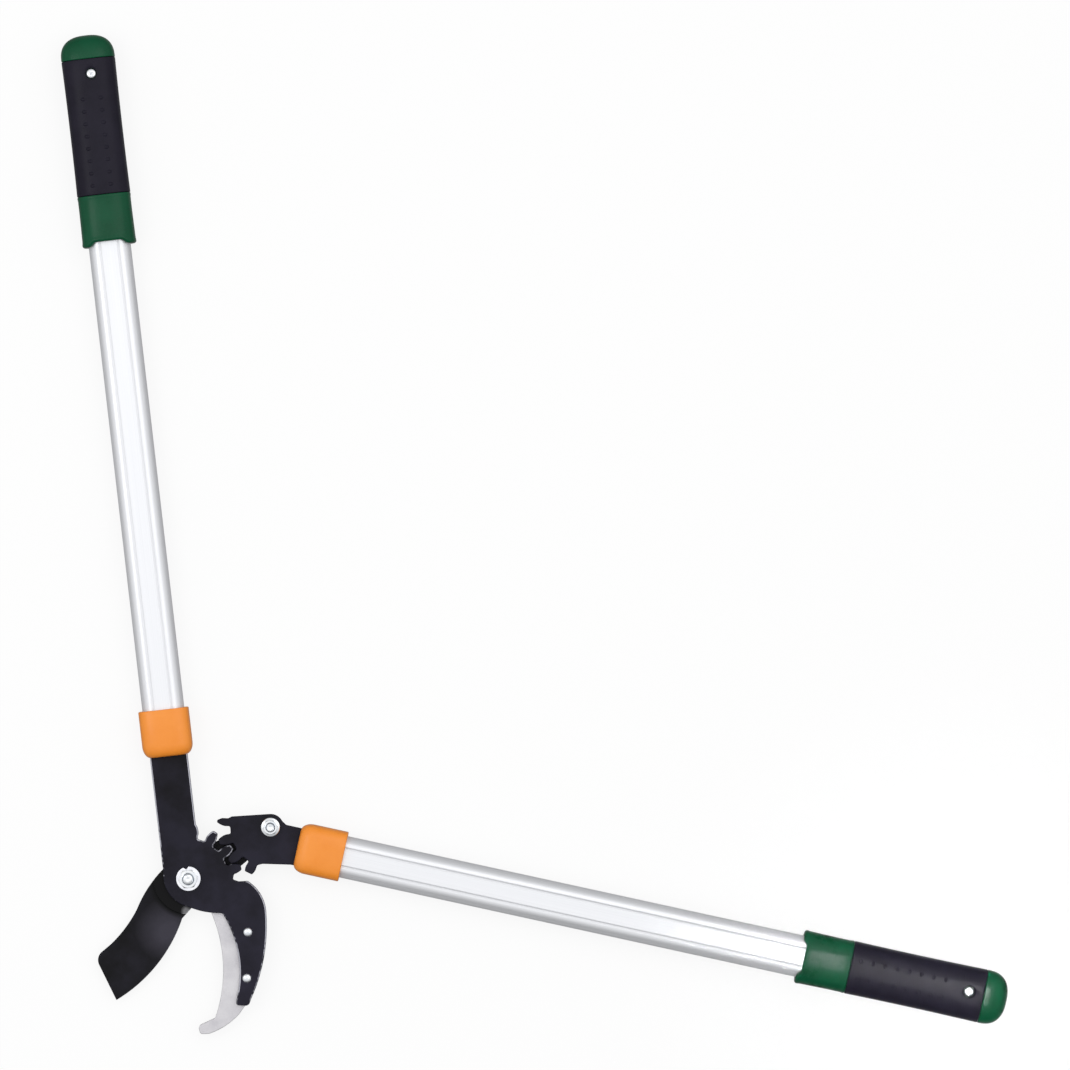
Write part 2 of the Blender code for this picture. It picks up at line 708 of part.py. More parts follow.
def make_link_pivot(pivot, link_frame):
    link = polar(PIVOT_SPACING, LINK_ANGLE)
    hole = LINK_BOLT_RADIUS + FIT
    nut_bottom = PLATE_TOP + FIT
    nut_top = nut_bottom + LINK_NUT_THICK
    head_bottom = HEAD_TOP - LINK_HEAD_THICK
    stud = bolt(LINK_BOLT_RADIUS, nut_top + STUD_PROUD, LINK_HEAD_RADIUS, head_bottom, HEAD_TOP, link)
    solid("link_bolt", stud, pivot, "zinc")
    washer = ring(hole, LINK_WASHER_RADIUS, WASHER_BOTTOM, WASHER_TOP, link)
    solid("link_back_washer", washer, pivot, "zinc")
    spacer = ring(hole, TAIL_END_RADIUS, COUNTER_BOTTOM, COUNTER_TOP, link)
    solid("link_spacer", spacer, pivot, "zinc")
    bush = ring(hole, hole + BUSH_WALL, PLATE_BOTTOM, PLATE_TOP)
    solid("link_bush", bush, link_frame, "bronze")
    nut = solid("link_flange_nut", slab(hexagon(LINK_NUT_FLATS, link), nut_bottom, nut_top), pivot, "zinc")
    flange = rod(LINK_FLANGE_RADIUS, nut_bottom, nut_bottom + LINK_FLANGE_THICK, link)
    boolean(nut, solid("link_flange_nut_flange", flange, pivot), "UNION")
    drill(nut, hole, link)


def make_collar(name, handle):
    rings = []
    for k in range(CORNER_STEPS + 1):
        angle = math.radians(90.0 * k / CORNER_STEPS)
        inset = COLLAR_NOSE_INSET * (1 - math.sin(angle))
        rings.append(collar_ring(COLLAR_NOSE * (1 - math.cos(angle)), inset))
    rings.append(collar_ring(COLLAR_LENGTH, 0.0))
    collar = solid(f"{name}_collar", through_rings(rings), handle, "orange_plastic")
    bore = through_rings([tube_ring(COLLAR_WALL, FIT), tube_ring(COLLAR_LENGTH + CUT_PAST, FIT)])
    cut(collar, bore, "bore")
    half = ARM_WIDTH / 2 + FIT
    low = (-CUT_PAST, -half, PLATE_BOTTOM - FIT)
    high = (COLLAR_WALL + CUT_PAST, half, PLATE_TOP + FIT)
    cut(collar, box(low, high), "slot")


def make_tube(name, handle):
    rings = [tube_ring(TUBE_START), tube_ring(TUBE_END)]
    rings += [tube_ring(TUBE_END, -TUBE_WALL), tube_ring(TUBE_START, -TUBE_WALL)]
    tube = solid(f"{name}_tube", through_rings(rings, around=True), handle, "aluminium")
    for number, along in enumerate(pin_places(), start=1):
        drill(tube, TANG_PIN_RADIUS + FIT, (along, 0.0), label=f"pin_hole_{number}")
    return tube


def make_tang_core(name, handle):
    """A block round the tang inside the tube, with the cross pins that go through all of them."""
    inside = -TUBE_WALL - FIT
    end = TUBE_START + CORE_LENGTH
    block = through_rings([tube_ring(TUBE_START, inside), tube_ring(end, inside)])
    core = solid(f"{name}_tang_core", block, handle, "nylon")
    half = TANG_WIDTH / 2 + FIT
    low = (TUBE_START - CUT_PAST, -half, PLATE_BOTTOM - FIT)
    high = (end + CUT_PAST, half, PLATE_TOP + FIT)
    cut(core, box(low, high), "slot")
    back, front = MID_HEIGHT - TUBE_THICK / 2, MID_HEIGHT + TUBE_THICK / 2
    for number, along in enumerate(pin_places(), start=1):
        drill(core, TANG_PIN_RADIUS + FIT, (along, 0.0), label=f"pin_hole_{number}")
        pin = rod(TANG_PIN_RADIUS, back, front, (along, 0.0))
        solid(f"{name}_tang_pin_{number}", pin, handle, "zinc")


def make_end_plug(name, handle):
    end = TUBE_END - FIT
    inside = -TUBE_WALL - FIT
    shape = through_rings([tube_ring(end - PLUG_LENGTH, inside), tube_ring(end, inside)])
    return solid(f"{name}_end_plug", shape, handle, "nylon")


def mouth_bore():
    """The grip's bore where it opens, with the same lobes at its sides as the mouth."""
    ring_points = tube_ring(GRIP_START, FIT)
    return [(at - MOUTH_LOBE * lobe_share(y, CUFF_WIDTH), y, z) for at, y, z in ring_points]


def cap_rings():
    rings = []
    for k in range(CORNER_STEPS + 1):
        angle = math.radians(90.0 * k / CORNER_STEPS)
        width = CAP_END_WIDTH + (CAP_WIDTH - CAP_END_WIDTH) * math.cos(angle)
        thick = CAP_END_THICK + (GRIP_THICK - CAP_END_THICK) * math.cos(angle)
        rings.append(grip_ring(GRIP_END - CAP_ROUND * (1 - math.sin(angle)), width, thick))
    return rings


def make_grip_core(name, handle):
    """The hard part: a cuff and a cap over the tube, and a thin wall between them under the sleeve."""
    side, face = FIT + CORE_SIDE_WALL, FIT + CORE_FACE_WALL
    rings = [
        tube_ring(TUBE_END + FIT, FIT),
        mouth_bore(),
        grip_ring(GRIP_START, CUFF_WIDTH, lobe=MOUTH_LOBE),
        grip_ring(SLEEVE_START - FIT, CUFF_END_WIDTH),
        tube_ring(SLEEVE_START - FIT, side, face),
        tube_ring(SLEEVE_END + FIT, side, face),
        grip_ring(SLEEVE_END + FIT, CAP_WIDTH),
        *cap_rings(),
    ]
    return solid(f"{name}_grip_core", through_rings(rings), handle, "green_plastic")


def make_grip_sleeve(name, handle):
    side, face = CORE_SIDE_WALL + 2 * FIT, CORE_FACE_WALL + 2 * FIT
    rings = [
        grip_ring(SLEEVE_START, CUFF_END_WIDTH),
        grip_ring(SLEEVE_START + SLEEVE_WAIST_AT, SLEEVE_WAIST_WIDTH),
        grip_ring(SLEEVE_END, CAP_WIDTH),
        tube_ring(SLEEVE_END, side, face),
        tube_ring(SLEEVE_START, side, face),
    ]
    return solid(f"{name}_grip_sleeve", through_rings(rings, around=True), handle, "black_rubber")


def make_grip_screw(name, handle, sleeve, below, aside):
    """A screw through the grip's core and the tube into the plug, sunk in a hole in the sleeve."""
    place = (GRIP_END - SCREW_FROM_END, aside)
    seat = MID_HEIGHT + TUBE_THICK / 2 + FIT + CORE_FACE_WALL + FIT
    tip = seat - SCREW_LENGTH
    head_top = seat + SCREW_HEAD_THICK
    drill(sleeve, SCREW_RECESS_RADIUS, place, seat - CUT_PAST, "screw_recess")
    for target in below:
        drill(target, SCREW_RADIUS + FIT, place, tip - FIT, "screw_hole")
    profile = [
        (0.0, tip),
        (SCREW_RADIUS - EDGE_BREAK, tip),
        (SCREW_RADIUS, tip + 2 * EDGE_BREAK),
        (SCREW_RADIUS, seat),
        (SCREW_HEAD_RADIUS, seat),
        (SCREW_HEAD_RADIUS, head_top - EDGE_BREAK),
        (SCREW_HEAD_RADIUS - EDGE_BREAK, head_top),
        (0.0, head_top),
    ]
    solid(f"{name}_grip_screw", turned(profile, place), handle, "zinc")


def make_handle(name, handle, screw_aside):
    """A whole handle, whose grip screw is set aside of the middle by an amount."""
    make_collar(name, handle)
    make_tang_core(name, handle)
    tube = make_tube(name, handle)
    plug = make_end_plug(name, handle)
    core = make_grip_core(name, handle)
    sleeve = make_grip_sleeve(name, handle)
    make_grip_screw(name, handle, sleeve, (core, tube, plug), screw_aside)


def main():
    for old in list(bpy.data.objects):
        bpy.data.objects.remove(old)
    root = frame("main_frame", ORIGIN)
    fixed_handle = frame("fixed_handle", (-FIXED_OFFSET, FIXED_REACH), 90.0, root)
    blade_pivot = frame("blade_pivot", ORIGIN, 0.0, root)
    link_pivot = frame("link_pivot", polar(PIVOT_SPACING, LINK_ANGLE), MOVING_DIRECTION, blade_pivot)
    moving_handle = frame("moving_handle", (MOVING_REACH, MOVING_OFFSET), 0.0, link_pivot)
    make_hooked_plate(root)
    make_counter_blade(root)
    for name, place in RIVETS.items():
        make_rivet(root, name, place)
    make_main_pivot(root)
    make_blade(blade_pivot)
    make_link_pivot(blade_pivot, link_pivot)
    make_toothed_plate(link_pivot)
    make_handle("fixed", fixed_handle, -SCREW_ASIDE)
    make_handle("moving", moving_handle, SCREW_ASIDE)


main()
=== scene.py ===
"""The looks of a geared bypass lopper that lies opened wide on a pale floor.

Every piece is shaped in millimetres and put in its place in metres. Along a handle, x runs from
the collar's nose to the end of the grip, y runs across it, and z is the height above the floor.
A section across a handle is its width, its thickness and the power that sets how square it is.
"""

import math

import bmesh
import bpy
from mathutils import Matrix, Vector


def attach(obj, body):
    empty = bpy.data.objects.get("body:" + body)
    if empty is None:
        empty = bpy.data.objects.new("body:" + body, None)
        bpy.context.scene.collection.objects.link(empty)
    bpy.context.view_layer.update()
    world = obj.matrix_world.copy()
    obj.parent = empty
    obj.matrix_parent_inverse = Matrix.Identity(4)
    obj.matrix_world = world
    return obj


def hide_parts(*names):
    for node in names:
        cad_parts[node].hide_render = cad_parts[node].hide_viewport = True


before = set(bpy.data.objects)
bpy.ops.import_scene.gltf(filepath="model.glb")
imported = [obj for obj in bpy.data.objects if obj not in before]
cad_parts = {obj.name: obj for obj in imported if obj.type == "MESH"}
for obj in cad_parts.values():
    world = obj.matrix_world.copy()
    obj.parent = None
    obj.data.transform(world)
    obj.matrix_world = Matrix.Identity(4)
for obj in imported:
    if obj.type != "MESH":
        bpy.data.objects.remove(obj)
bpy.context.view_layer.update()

MM = 0.001
MERGE = 0.001
FIT = 0.3
MID_HEIGHT = 15.0

# The handles: the body that each rides on, and its place
LINK_PLACE = (65.527, 31.255)
FIXED_TURN, MOVING_TURN = 90.0, -18.9
FIXED_PLACE = (
    Matrix.Translation((-4.2, 93.0, 0.0))
    @ Matrix.Rotation(math.radians(FIXED_TURN), 4, "Z")
)
MOVING_PLACE = (
    Matrix.Translation((*LINK_PLACE, 0.0))
    @ Matrix.Rotation(math.radians(MOVING_TURN), 4, "Z")
    @ Matrix.Translation((22.9, -10.1, 0.0))
)

# Collar and tube
SECTION_STEPS = 96
COLLAR_LENGTH, COLLAR_SECTION, COLLAR_ROUND = 35.2, (37.8, 26.0, 3.6), 0.8
COLLAR_WALL, NOSE_LENGTH, NOSE_INSET = 8.7, 9.0, 5.7
SLOT_WIDTH, SLOT_LOW, SLOT_HIGH = 29.0, 12.2, 17.8
TUBE_START, TUBE_END, TUBE_WIDTH, TUBE_THICK, TUBE_WALL = 9.0, 523.0, 31.5, 20.0, 1.5
TUBE_FLAT, TUBE_SIDE_FLAT = 16.0, 2.0
BORE_SECTION = (TUBE_WIDTH + 2 * FIT, TUBE_THICK + 2 * FIT, 3.1)
GROOVE_AT, GROOVE_WIDTH, GROOVE_DEPTH = 6.8, 2.2, 0.5

# Grip, from the mouth of its cuff to the end of its cap
GRIP_START, SLEEVE_START, SLEEVE_END, GRIP_END = 388.5, 423.7, 525.5, 544.0
GRIP_THICK, GRIP_POWER, CUFF_WIDTH, CUFF_END_WIDTH, CAP_WIDTH = 30.0, 2.9, 40.6, 40.0, 40.3
MOUTH_ROUND, SEAM_ROUND = 1.9, 0.6
CAP_STRAIGHT, CAP_POWER, CAP_STEPS = 1.0, 2.5, 18
MOUTH_LOBE, LOBE_FROM, LOBE_TO = 3.3, 0.5, 0.82
WAIST_AT, WAIST_WIDTH, WAIST_THICK = 468.7, 39.4, 28.8
LINING_SECTION = (34.3, 25.0, 3.1)
SLEEVE_STEPS = 16

# Nubs of the sleeve, and the screw that is sunk in it
NUB_FIRST, NUB_STEP, NUBS, NUB_ACROSS = 430.5, 9.3, 8, 6.4
NUB_SIZE, NUB_SUNK = (1.9, 2.5, 1.2), 0.72
SCREW_AT, SCREW_ASIDE, SCREW_SEAT, SCREW_HEAD, SCREW_RADIUS = 514.3, 1.6, 27.8, 3.75, 2.0
RECESS_RADIUS = 4.0
CROSS_LENGTH, CROSS_WIDTH, CROSS_POINT = 4.4, 1.0, 1.3

# Head
PLATE_EDGE, THIN_EDGE, WASHER_EDGE, BROKEN_EDGE = 0.9, 0.4, 0.25, 0.2
SHARP_FROM = 40.0
RIVETS = {"upper": (39.6, -45.0), "lower": (34.9, -79.2)}
RIVET_BACK, RIVET_FRONT = 9.2, 17.8
RIVET_SHANK, RIVET_FOOT, RIVET_HEAD, RIVET_DOME = 2.2, 3.1, 3.3, 1.4
PIVOT_PLACE = (0.0, 0.0)
CHAMFER, COUNTERSINK = 0.75, 0.6
DIMPLE_RADIUS, DIMPLE_DEPTH = 1.1, 0.5
TURN_STEPS = 72

# Coating of the plates: the steel under it, which shows along the edges as abrasion and painted edge
# highlight both, and how far its painted sheen reaches from the palest end, in metres
BARE_STEEL = (0.46, 0.46, 0.52)
SHEEN_REACH = 0.15


def moved(shape, verts, offset):
    bmesh.ops.translate(shape, vec=offset, verts=verts)


def from_node(name):
    """A copy of a node in millimetres, its loose triangles merged and joined into whole faces."""
    shape = bmesh.new()
    shape.from_mesh(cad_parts[name].data)
    bmesh.ops.scale(shape, vec=(1 / MM, 1 / MM, 1 / MM), verts=shape.verts)
    bmesh.ops.remove_doubles(shape, verts=shape.verts, dist=MERGE)
    bmesh.ops.dissolve_limit(
        shape, angle_limit=math.radians(0.5), verts=shape.verts, edges=shape.edges
    )
    return shape


def finished(name, body, shape, material, place=None, sharp=35.0):
    """Puts a shape in its place with its finish, as the piece that stands for a node."""
    bmesh.ops.remove_doubles(shape, verts=shape.verts, dist=MERGE)
    if place:
        bmesh.ops.transform(shape, matrix=place, verts=shape.verts)
    bmesh.ops.scale(shape, vec=(MM, MM, MM), verts=shape.verts)
    bmesh.ops.recalc_face_normals(shape, faces=shape.faces)
    rim = shape.faces.layers.float.get("rim")
    for face in shape.faces:
        face.smooth = True
    for edge in shape.edges:
        rounded = rim and any(face[rim] for face in edge.link_faces)
        edge.smooth = bool(rounded) or edge.calc_face_angle(0.0) < math.radians(sharp)
    mesh = bpy.data.meshes.new(f"dressed_{name}")
    shape.to_mesh(mesh)
    shape.free()
    mesh.materials.append(material)
    made = bpy.data.objects.new(f"dressed_{name}", mesh)
    bpy.context.scene.collection.objects.link(made)
    if rim:
        shading = made.modifiers.new("even_shading", "WEIGHTED_NORMAL")
        shading.weight = 100
        shading.keep_sharp = True
    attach(made, body)
    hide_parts(name)


def combined(shape, other, operation):
    """The Boolean of two shapes, as a new shape."""
    pair = []
    for part in (shape, other):
        bmesh.ops.recalc_face_normals(part, faces=part.faces)
        mesh = bpy.data.meshes.new("part")
        part.to_mesh(mesh)
        part.free()
        pair.append(bpy.data.objects.new("part", mesh))
        bpy.context.scene.collection.objects.link(pair[-1])
    step = pair[0].modifiers.new("combine", "BOOLEAN")
    step.object = pair[1]
    step.operation = operation
    step.solver = "EXACT"
    bpy.context.view_layer.update()
    done = pair[0].evaluated_get(bpy.context.evaluated_depsgraph_get())
    result = bmesh.new()
    result.from_mesh(done.to_mesh())
    done.to_mesh_clear()
    for part in pair:
        bpy.data.meshes.remove(part.data)
    bmesh.ops.remove_doubles(result, verts=result.verts, dist=MERGE)
    return result


def break_edges(shape, width, leave=None):
    """Rounds the sharp edges of a flat piece, and marks the new faces as its rim."""
    rim = shape.faces.layers.float.new("rim")
    edges = [
        edge
        for edge in shape.edges
        if edge.calc_face_angle(0.0) > math.radians(SHARP_FROM) and not (leave and leave(edge))
    ]
    made = bmesh.ops.bevel(
        shape,
        geom=edges,
        offset=width,
        offset_type="OFFSET",
        affect="EDGES",
        segments=2,
        profile=0.5,
        material=-1,
    )
    for face in made["faces"]:
        face[rim] = 1.0
    return shape


def lobe_share(y):
    """How far the mouth's rim reaches forwards: not at all in its middle, fully at its sides."""
    share = min(max((abs(y) - LOBE_FROM) / (LOBE_TO - LOBE_FROM), 0.0), 1.0)
    return share * share * (3 - 2 * share)


def edges_along(verts):
    """The edges of a loop, each of them once and in the same order every run."""
    return list(dict.fromkeys(edge for vert in verts for edge in vert.link_edges))


def loop(shape, at, section, inset=0.0, lobe=0.0):
    """A closed loop across a handle, drawn in all round. With a lobe, its sides reach forwards."""
    width, thick, power = section
    width, thick = width - 2 * inset, thick - 2 * inset
    verts = bmesh.ops.create_circle(shape, segments=SECTION_STEPS, radius=1.0)["verts"]
    for vert in verts:
        y, z = (math.copysign(abs(c) ** (2 / power), c) for c in vert.co.xy)
        vert.co = (at - lobe * lobe_share(y), y * width / 2, MID_HEIGHT + z * thick / 2)
    return edges_along(verts)


def stretched_loop(shape, at, width, thick):
    """A closed loop of the tube, with flat front, back and sides and elliptical corners."""
    verts = bmesh.ops.create_circle(shape, segments=SECTION_STEPS, radius=1.0)["verts"]
    turn = Matrix.Rotation(math.pi / SECTION_STEPS, 3, "Z")
    for vert in verts:
        y, z = (turn @ vert.co).xy
        y = y * (width - TUBE_FLAT) / 2 + math.copysign(TUBE_FLAT / 2, y)
        z = z * (thick - TUBE_SIDE_FLAT) / 2 + math.copysign(TUBE_SIDE_FLAT / 2, z)
        vert.co = (at, y, MID_HEIGHT + z)
    return edges_along(verts)


def quarter(steps):
    """Sine and cosine over a quarter turn."""
    for k in range(steps + 1):
        angle = math.radians(90.0 * k / steps)
        yield math.sin(angle), math.cos(angle)


def rounded_start(shape, at, section, length, depth, steps, lobe=0.0):
    """Loops over a rounding, from its face out to the full section."""
    return [
        loop(shape, at + length * (1 - cosine), section, depth * (1 - sine), lobe)
        for sine, cosine in quarter(steps)
    ]


def rounded_end(shape, at, section, radius, steps):
    """Loops over a rounding, from the full section in to its face."""
    return [
        loop(shape, at - radius * (1 - sine), section, radius * (1 - cosine))
        for sine, cosine in quarter(steps)
    ]


def skin(shape, loops, around=False):
    """Faces from each loop to the next, and either from the last to the first or over both ends."""
    for first, second in zip(loops, loops[1:] + loops[:1] if around else loops[1:]):
        bmesh.ops.bridge_loops(shape, edges=first + second)
    if not around:
        bmesh.ops.edgeloop_fill(shape, edges=loops[0])
        bmesh.ops.edgeloop_fill(shape, edges=loops[-1])


def turned(profile, place, closed=False):
    """A turned shape about an upright axis, from its (radius, height) profile."""
    shape = bmesh.new()
    verts = [shape.verts.new((radius, 0.0, height)) for radius, height in profile]
    pairs = zip(verts, verts[1:] + verts[:1] if closed else verts[1:])
    edges = [shape.edges.new(pair) for pair in pairs]
    bmesh.ops.spin(
        shape,
        geom=verts + edges,
        cent=(0.0, 0.0, 0.0),
        axis=(0.0, 0.0, 1.0),
        angle=math.tau,
        steps=TURN_STEPS,
        use_merge=True,
    )
    bmesh.ops.remove_doubles(shape, verts=shape.verts, dist=MERGE)
    moved(shape, shape.verts, (*place, 0.0))
    return shape


def ring(inner, outer, bottom, top, place):
    """A washer or spacer with broken edges."""
    profile = [
        (inner, bottom),
        (outer - BROKEN_EDGE, bottom),
        (outer, bottom + BROKEN_EDGE),
        (outer, top - BROKEN_EDGE),
        (outer - BROKEN_EDGE, top),
        (inner + BROKEN_EDGE, top),
        (inner, top - BROKEN_EDGE),
    ]
    return turned(profile, place, closed=True)


def block(low, high, rounding=0.0):
    """A block between two corners, whose edges along x can be rounded."""
    shape = bmesh.new()
    bmesh.ops.create_cube(shape, size=1.0)
    size = Vector(high) - Vector(low)
    bmesh.ops.scale(shape, vec=size, verts=shape.verts)
    moved(shape, shape.verts, Vector(low) + size / 2)
    if rounding:
        along = []
        for edge in shape.edges:
            first, second = edge.verts
            if abs((first.co - second.co).normalized().x) > 0.9:
                along.append(edge)
        bmesh.ops.bevel(
            shape, geom=along, offset=rounding, affect="EDGES", segments=3, profile=0.5, material=-1
        )
    return shape


def node(tree, kind, inputs=None, **settings):
    """A shader node with its settings and inputs, each a number, a colour or another's output."""
    made = tree.nodes.new("ShaderNode" + kind)
    for name, value in settings.items():
        setattr(made, name, value)
    for key, value in (inputs or {}).items():
        if isinstance(value, bpy.types.NodeSocket):
            tree.links.new(value, made.inputs[key])
        else:
            made.inputs[key].default_value = value
    return made


def worked(tree, operation, first, second, **settings):
    """The result of one step of arithmetic."""
    return node(tree, "Math", {0: first, 1: second}, operation=operation, **settings).outputs[0]


def times(tree, first, second):
    return worked(tree, "MULTIPLY", first, second)


def plus(tree, first, second):
    return worked(tree, "ADD", first, second)


def shared(tree, first, second, share):
    """Two values added up: the first by its share, and the second by the rest."""
    return plus(tree, times(tree, first, share), times(tree, second, 1 - share))


def spread(tree, value, low, high, start=0.0, end=1.0):
    """A value from start to end, spread from low to high."""
    inputs = {"Value": value, "From Min": start, "From Max": end, "To Min": low, "To Max": high}
    return node(tree, "MapRange", inputs).outputs[0]


def between(tree, factor, first, second):
    """A colour between two colours."""
    made = node(tree, "Mix", {0: factor}, data_type="RGBA")
    for socket, value in ((made.inputs[6], first), (made.inputs[7], second)):
        if isinstance(value, bpy.types.NodeSocket):
            tree.links.new(value, socket)
        else:
            socket.default_value = (*value, 1.0)
    return made.outputs[2]


def object_place(tree):
    """The place on the object, in metres."""
    return node(tree, "TexCoord").outputs["Object"]


def away_from(tree, place, point):
    """The distance of a place from a point."""
    return node(tree, "VectorMath", {0: place, 1: point}, operation="DISTANCE").outputs["Value"]


def new_group(name, inputs, result):
    """A node group with named sockets: its tree, what comes in and the one value that goes out."""
    tree = bpy.data.node_groups.new(name, "ShaderNodeTree")
    for label, default in inputs.items():
        kind = "NodeSocketVector" if isinstance(default, tuple) else "NodeSocketFloat"
        tree.interface.new_socket(label, in_out="INPUT", socket_type=kind).default_value = default
    tree.interface.new_socket(result, in_out="OUTPUT", socket_type="NodeSocketFloat")
    given = tree.nodes.new("NodeGroupInput").outputs
    return tree, given, tree.nodes.new("NodeGroupOutput").inputs[result]


def make_grain():
    """Fine speckle, the size of one grain in metres."""
    tree, given, out = new_group("grain", {"Size": 0.0003}, "Value")
    scale = worked(tree, "DIVIDE", 1.0, given["Size"])
    inputs = {"Vector": object_place(tree), "Scale": scale, "Detail": 3.0}
    noise = node(tree, "TexNoise", inputs).outputs["Fac"]
    tree.links.new(spread(tree, noise, 0.0, 1.0, 0.3, 0.7), out)
    return tree


def make_drawn_lines():
    """Fine lines along a handle, which is turned by an angle from the x axis."""
    inputs = {"Turn": (0.0, 0.0, 0.0), "Width": 0.0004, "Length": 0.2}
    tree, given, out = new_group("drawn_lines", inputs, "Value")
    inputs = {"Vector": object_place(tree), "Rotation": given["Turn"]}
    turned_back = node(tree, "Mapping", inputs).outputs[0]
    across = worked(tree, "DIVIDE", 1.0, given["Width"])
    along = worked(tree, "DIVIDE", 1.0, given["Length"])
    scale = node(tree, "CombineXYZ", {"X": along, "Y": across, "Z": across}).outputs[0]
    scaled = node(tree, "VectorMath", {0: turned_back, 1: scale}, operation="MULTIPLY").outputs[0]
    lines = node(tree, "TexNoise", {"Vector": scaled, "Scale": 1.0, "Detail": 2.0}).outputs["Fac"]
    tree.links.new(spread(tree, lines, 0.0, 1.0, 0.3, 0.7), out)
    return tree


def make_edge_wear_and_glint():
    """Bare metal on rounded edges, in broken patches, and more of it near a given place: real
    abrasion that also stands in for the highlights along those edges, so it is partly a painted
    highlight.
    """
    inputs = {"Amount": 0.6, "Patch": 0.004, "Centre": (0.0, 0.0, 0.0), "Reach": 0.03}
    tree, given, out = new_group("edge_wear_and_glint", inputs, "Mask")
    place = object_place(tree)
    rim = node(tree, "Attribute", attribute_name="rim").outputs["Fac"]
    scale = worked(tree, "DIVIDE", 1.0, given["Patch"])
    noise = node(tree, "TexNoise", {"Vector": place, "Scale": scale, "Detail": 4.0}).outputs["Fac"]
    near = spread(tree, away_from(tree, place, given["Centre"]), 0.8, 0.0, 0.0, given["Reach"])
    wear_and_glint = plus(tree, noise, plus(tree, near, given["Amount"]))
    patches = spread(tree, wear_and_glint, 0.0, 1.0, 0.95, 1.2)
    tree.links.new(times(tree, rim, patches), out)
    return tree


def make_smudges():
    """Broad soft patches where hands have been."""
    tree, given, out = new_group("smudges", {"Size": 0.03}, "Value")
    scale = worked(tree, "DIVIDE", 1.0, given["Size"])
    inputs = {"Vector": object_place(tree), "Scale": scale, "Detail": 5.0, "Roughness": 0.6}
    noise = node(tree, "TexNoise", inputs).outputs["Fac"]
    tree.links.new(spread(tree, noise, 0.0, 1.0, 0.35, 0.65), out)
    return tree


def make_parting_line():
    """A thin raised line round a moulding at mid height, where the two halves of its mould met."""
    inputs = {"Height": MID_HEIGHT * MM, "Width": 0.0003}
    tree, given, out = new_group("parting_line", inputs, "Value")
    z = node(tree, "SeparateXYZ", {0: object_place(tree)}).outputs["Z"]
    above = worked(tree, "SUBTRACT", z, given["Height"])
    away = node(tree, "Math", {0: above}, operation="ABSOLUTE").outputs[0]
    tree.links.new(spread(tree, away, 1.0, 0.0, 0.0, given["Width"]), out)
    return tree


GRAIN = make_grain()
DRAWN_LINES = make_drawn_lines()
EDGE_WEAR_AND_GLINT = make_edge_wear_and_glint()
SMUDGES = make_smudges()
PARTING_LINE = make_parting_line()


def effect(tree, group, **inputs):
    """The output of an effect placed in a material with its own values."""
    made = tree.nodes.new("ShaderNodeGroup")
    made.node_tree = group
    for key, value in inputs.items():
        made.inputs[key].default_value = value
    return made.outputs[0]


def surface(name, **constants):
    """A material and its shader, with the values that are the same all over it."""
    made = bpy.data.materials.new(name)
    made.use_nodes = True
    tree = made.node_tree
    shader = tree.nodes["Principled BSDF"]
    for key, value in constants.items():
        shader.inputs[key.replace("_", " ")].default_value = value
    return made, tree, shader


def feed(tree, shader, **outputs):
    """Links what changes over the surface to the shader."""
    for key, output in outputs.items():
        tree.links.new(output, shader.inputs[key.replace("_", " ")])


def bumped(tree, height, distance):
    return node(tree, "Bump", {"Height": height, "Distance": distance}).outputs["Normal"]


def coated_steel(name, edge_wear_and_glint_places, sheen_palest_at):
    """Black coating on steel, with a painted sheen that makes it palest at one end, and bare steel
    along its edges, which is abrasion and painted edge highlight both.
    """
    made, tree, shader = surface(name, Specular_IOR_Level=0.12)
    grain = effect(tree, GRAIN, Size=0.0004)
    smudge = effect(tree, SMUDGES, Size=0.022)
    bare = 0.0
    # Bare steel along the edges, in patches: real abrasion that also stands in for the highlights on
    # those edges, a painted highlight in part.
    for centre, reach, amount in edge_wear_and_glint_places:
        wear_and_glint = effect(tree, EDGE_WEAR_AND_GLINT, Amount=amount, Centre=centre, Reach=reach, Patch=0.003)
        bare = worked(tree, "MAXIMUM", bare, wear_and_glint)
    # Painted sheen: a fixed gradient along y makes the coating paler towards one end. It is half of
    # the coating's tone, and the smudges are the other half.
    y = node(tree, "SeparateXYZ", {0: object_place(tree)}).outputs["Y"]
    pale = spread(tree, y, 1.0, 0.0, sheen_palest_at, sheen_palest_at + SHEEN_REACH)
    tone = shared(tree, smudge, pale, 0.5)
    black = between(tree, tone, (0.0028, 0.0024, 0.0040), (0.021, 0.0195, 0.034))
    feed(
        tree,
        shader,
        Base_Color=between(tree, bare, black, BARE_STEEL),
        Metallic=times(tree, bare, 0.5),
        Roughness=spread(tree, shared(tree, smudge, grain, 0.6), 0.34, 0.5),
        Normal=bumped(tree, grain, 0.00001),
    )
    return made


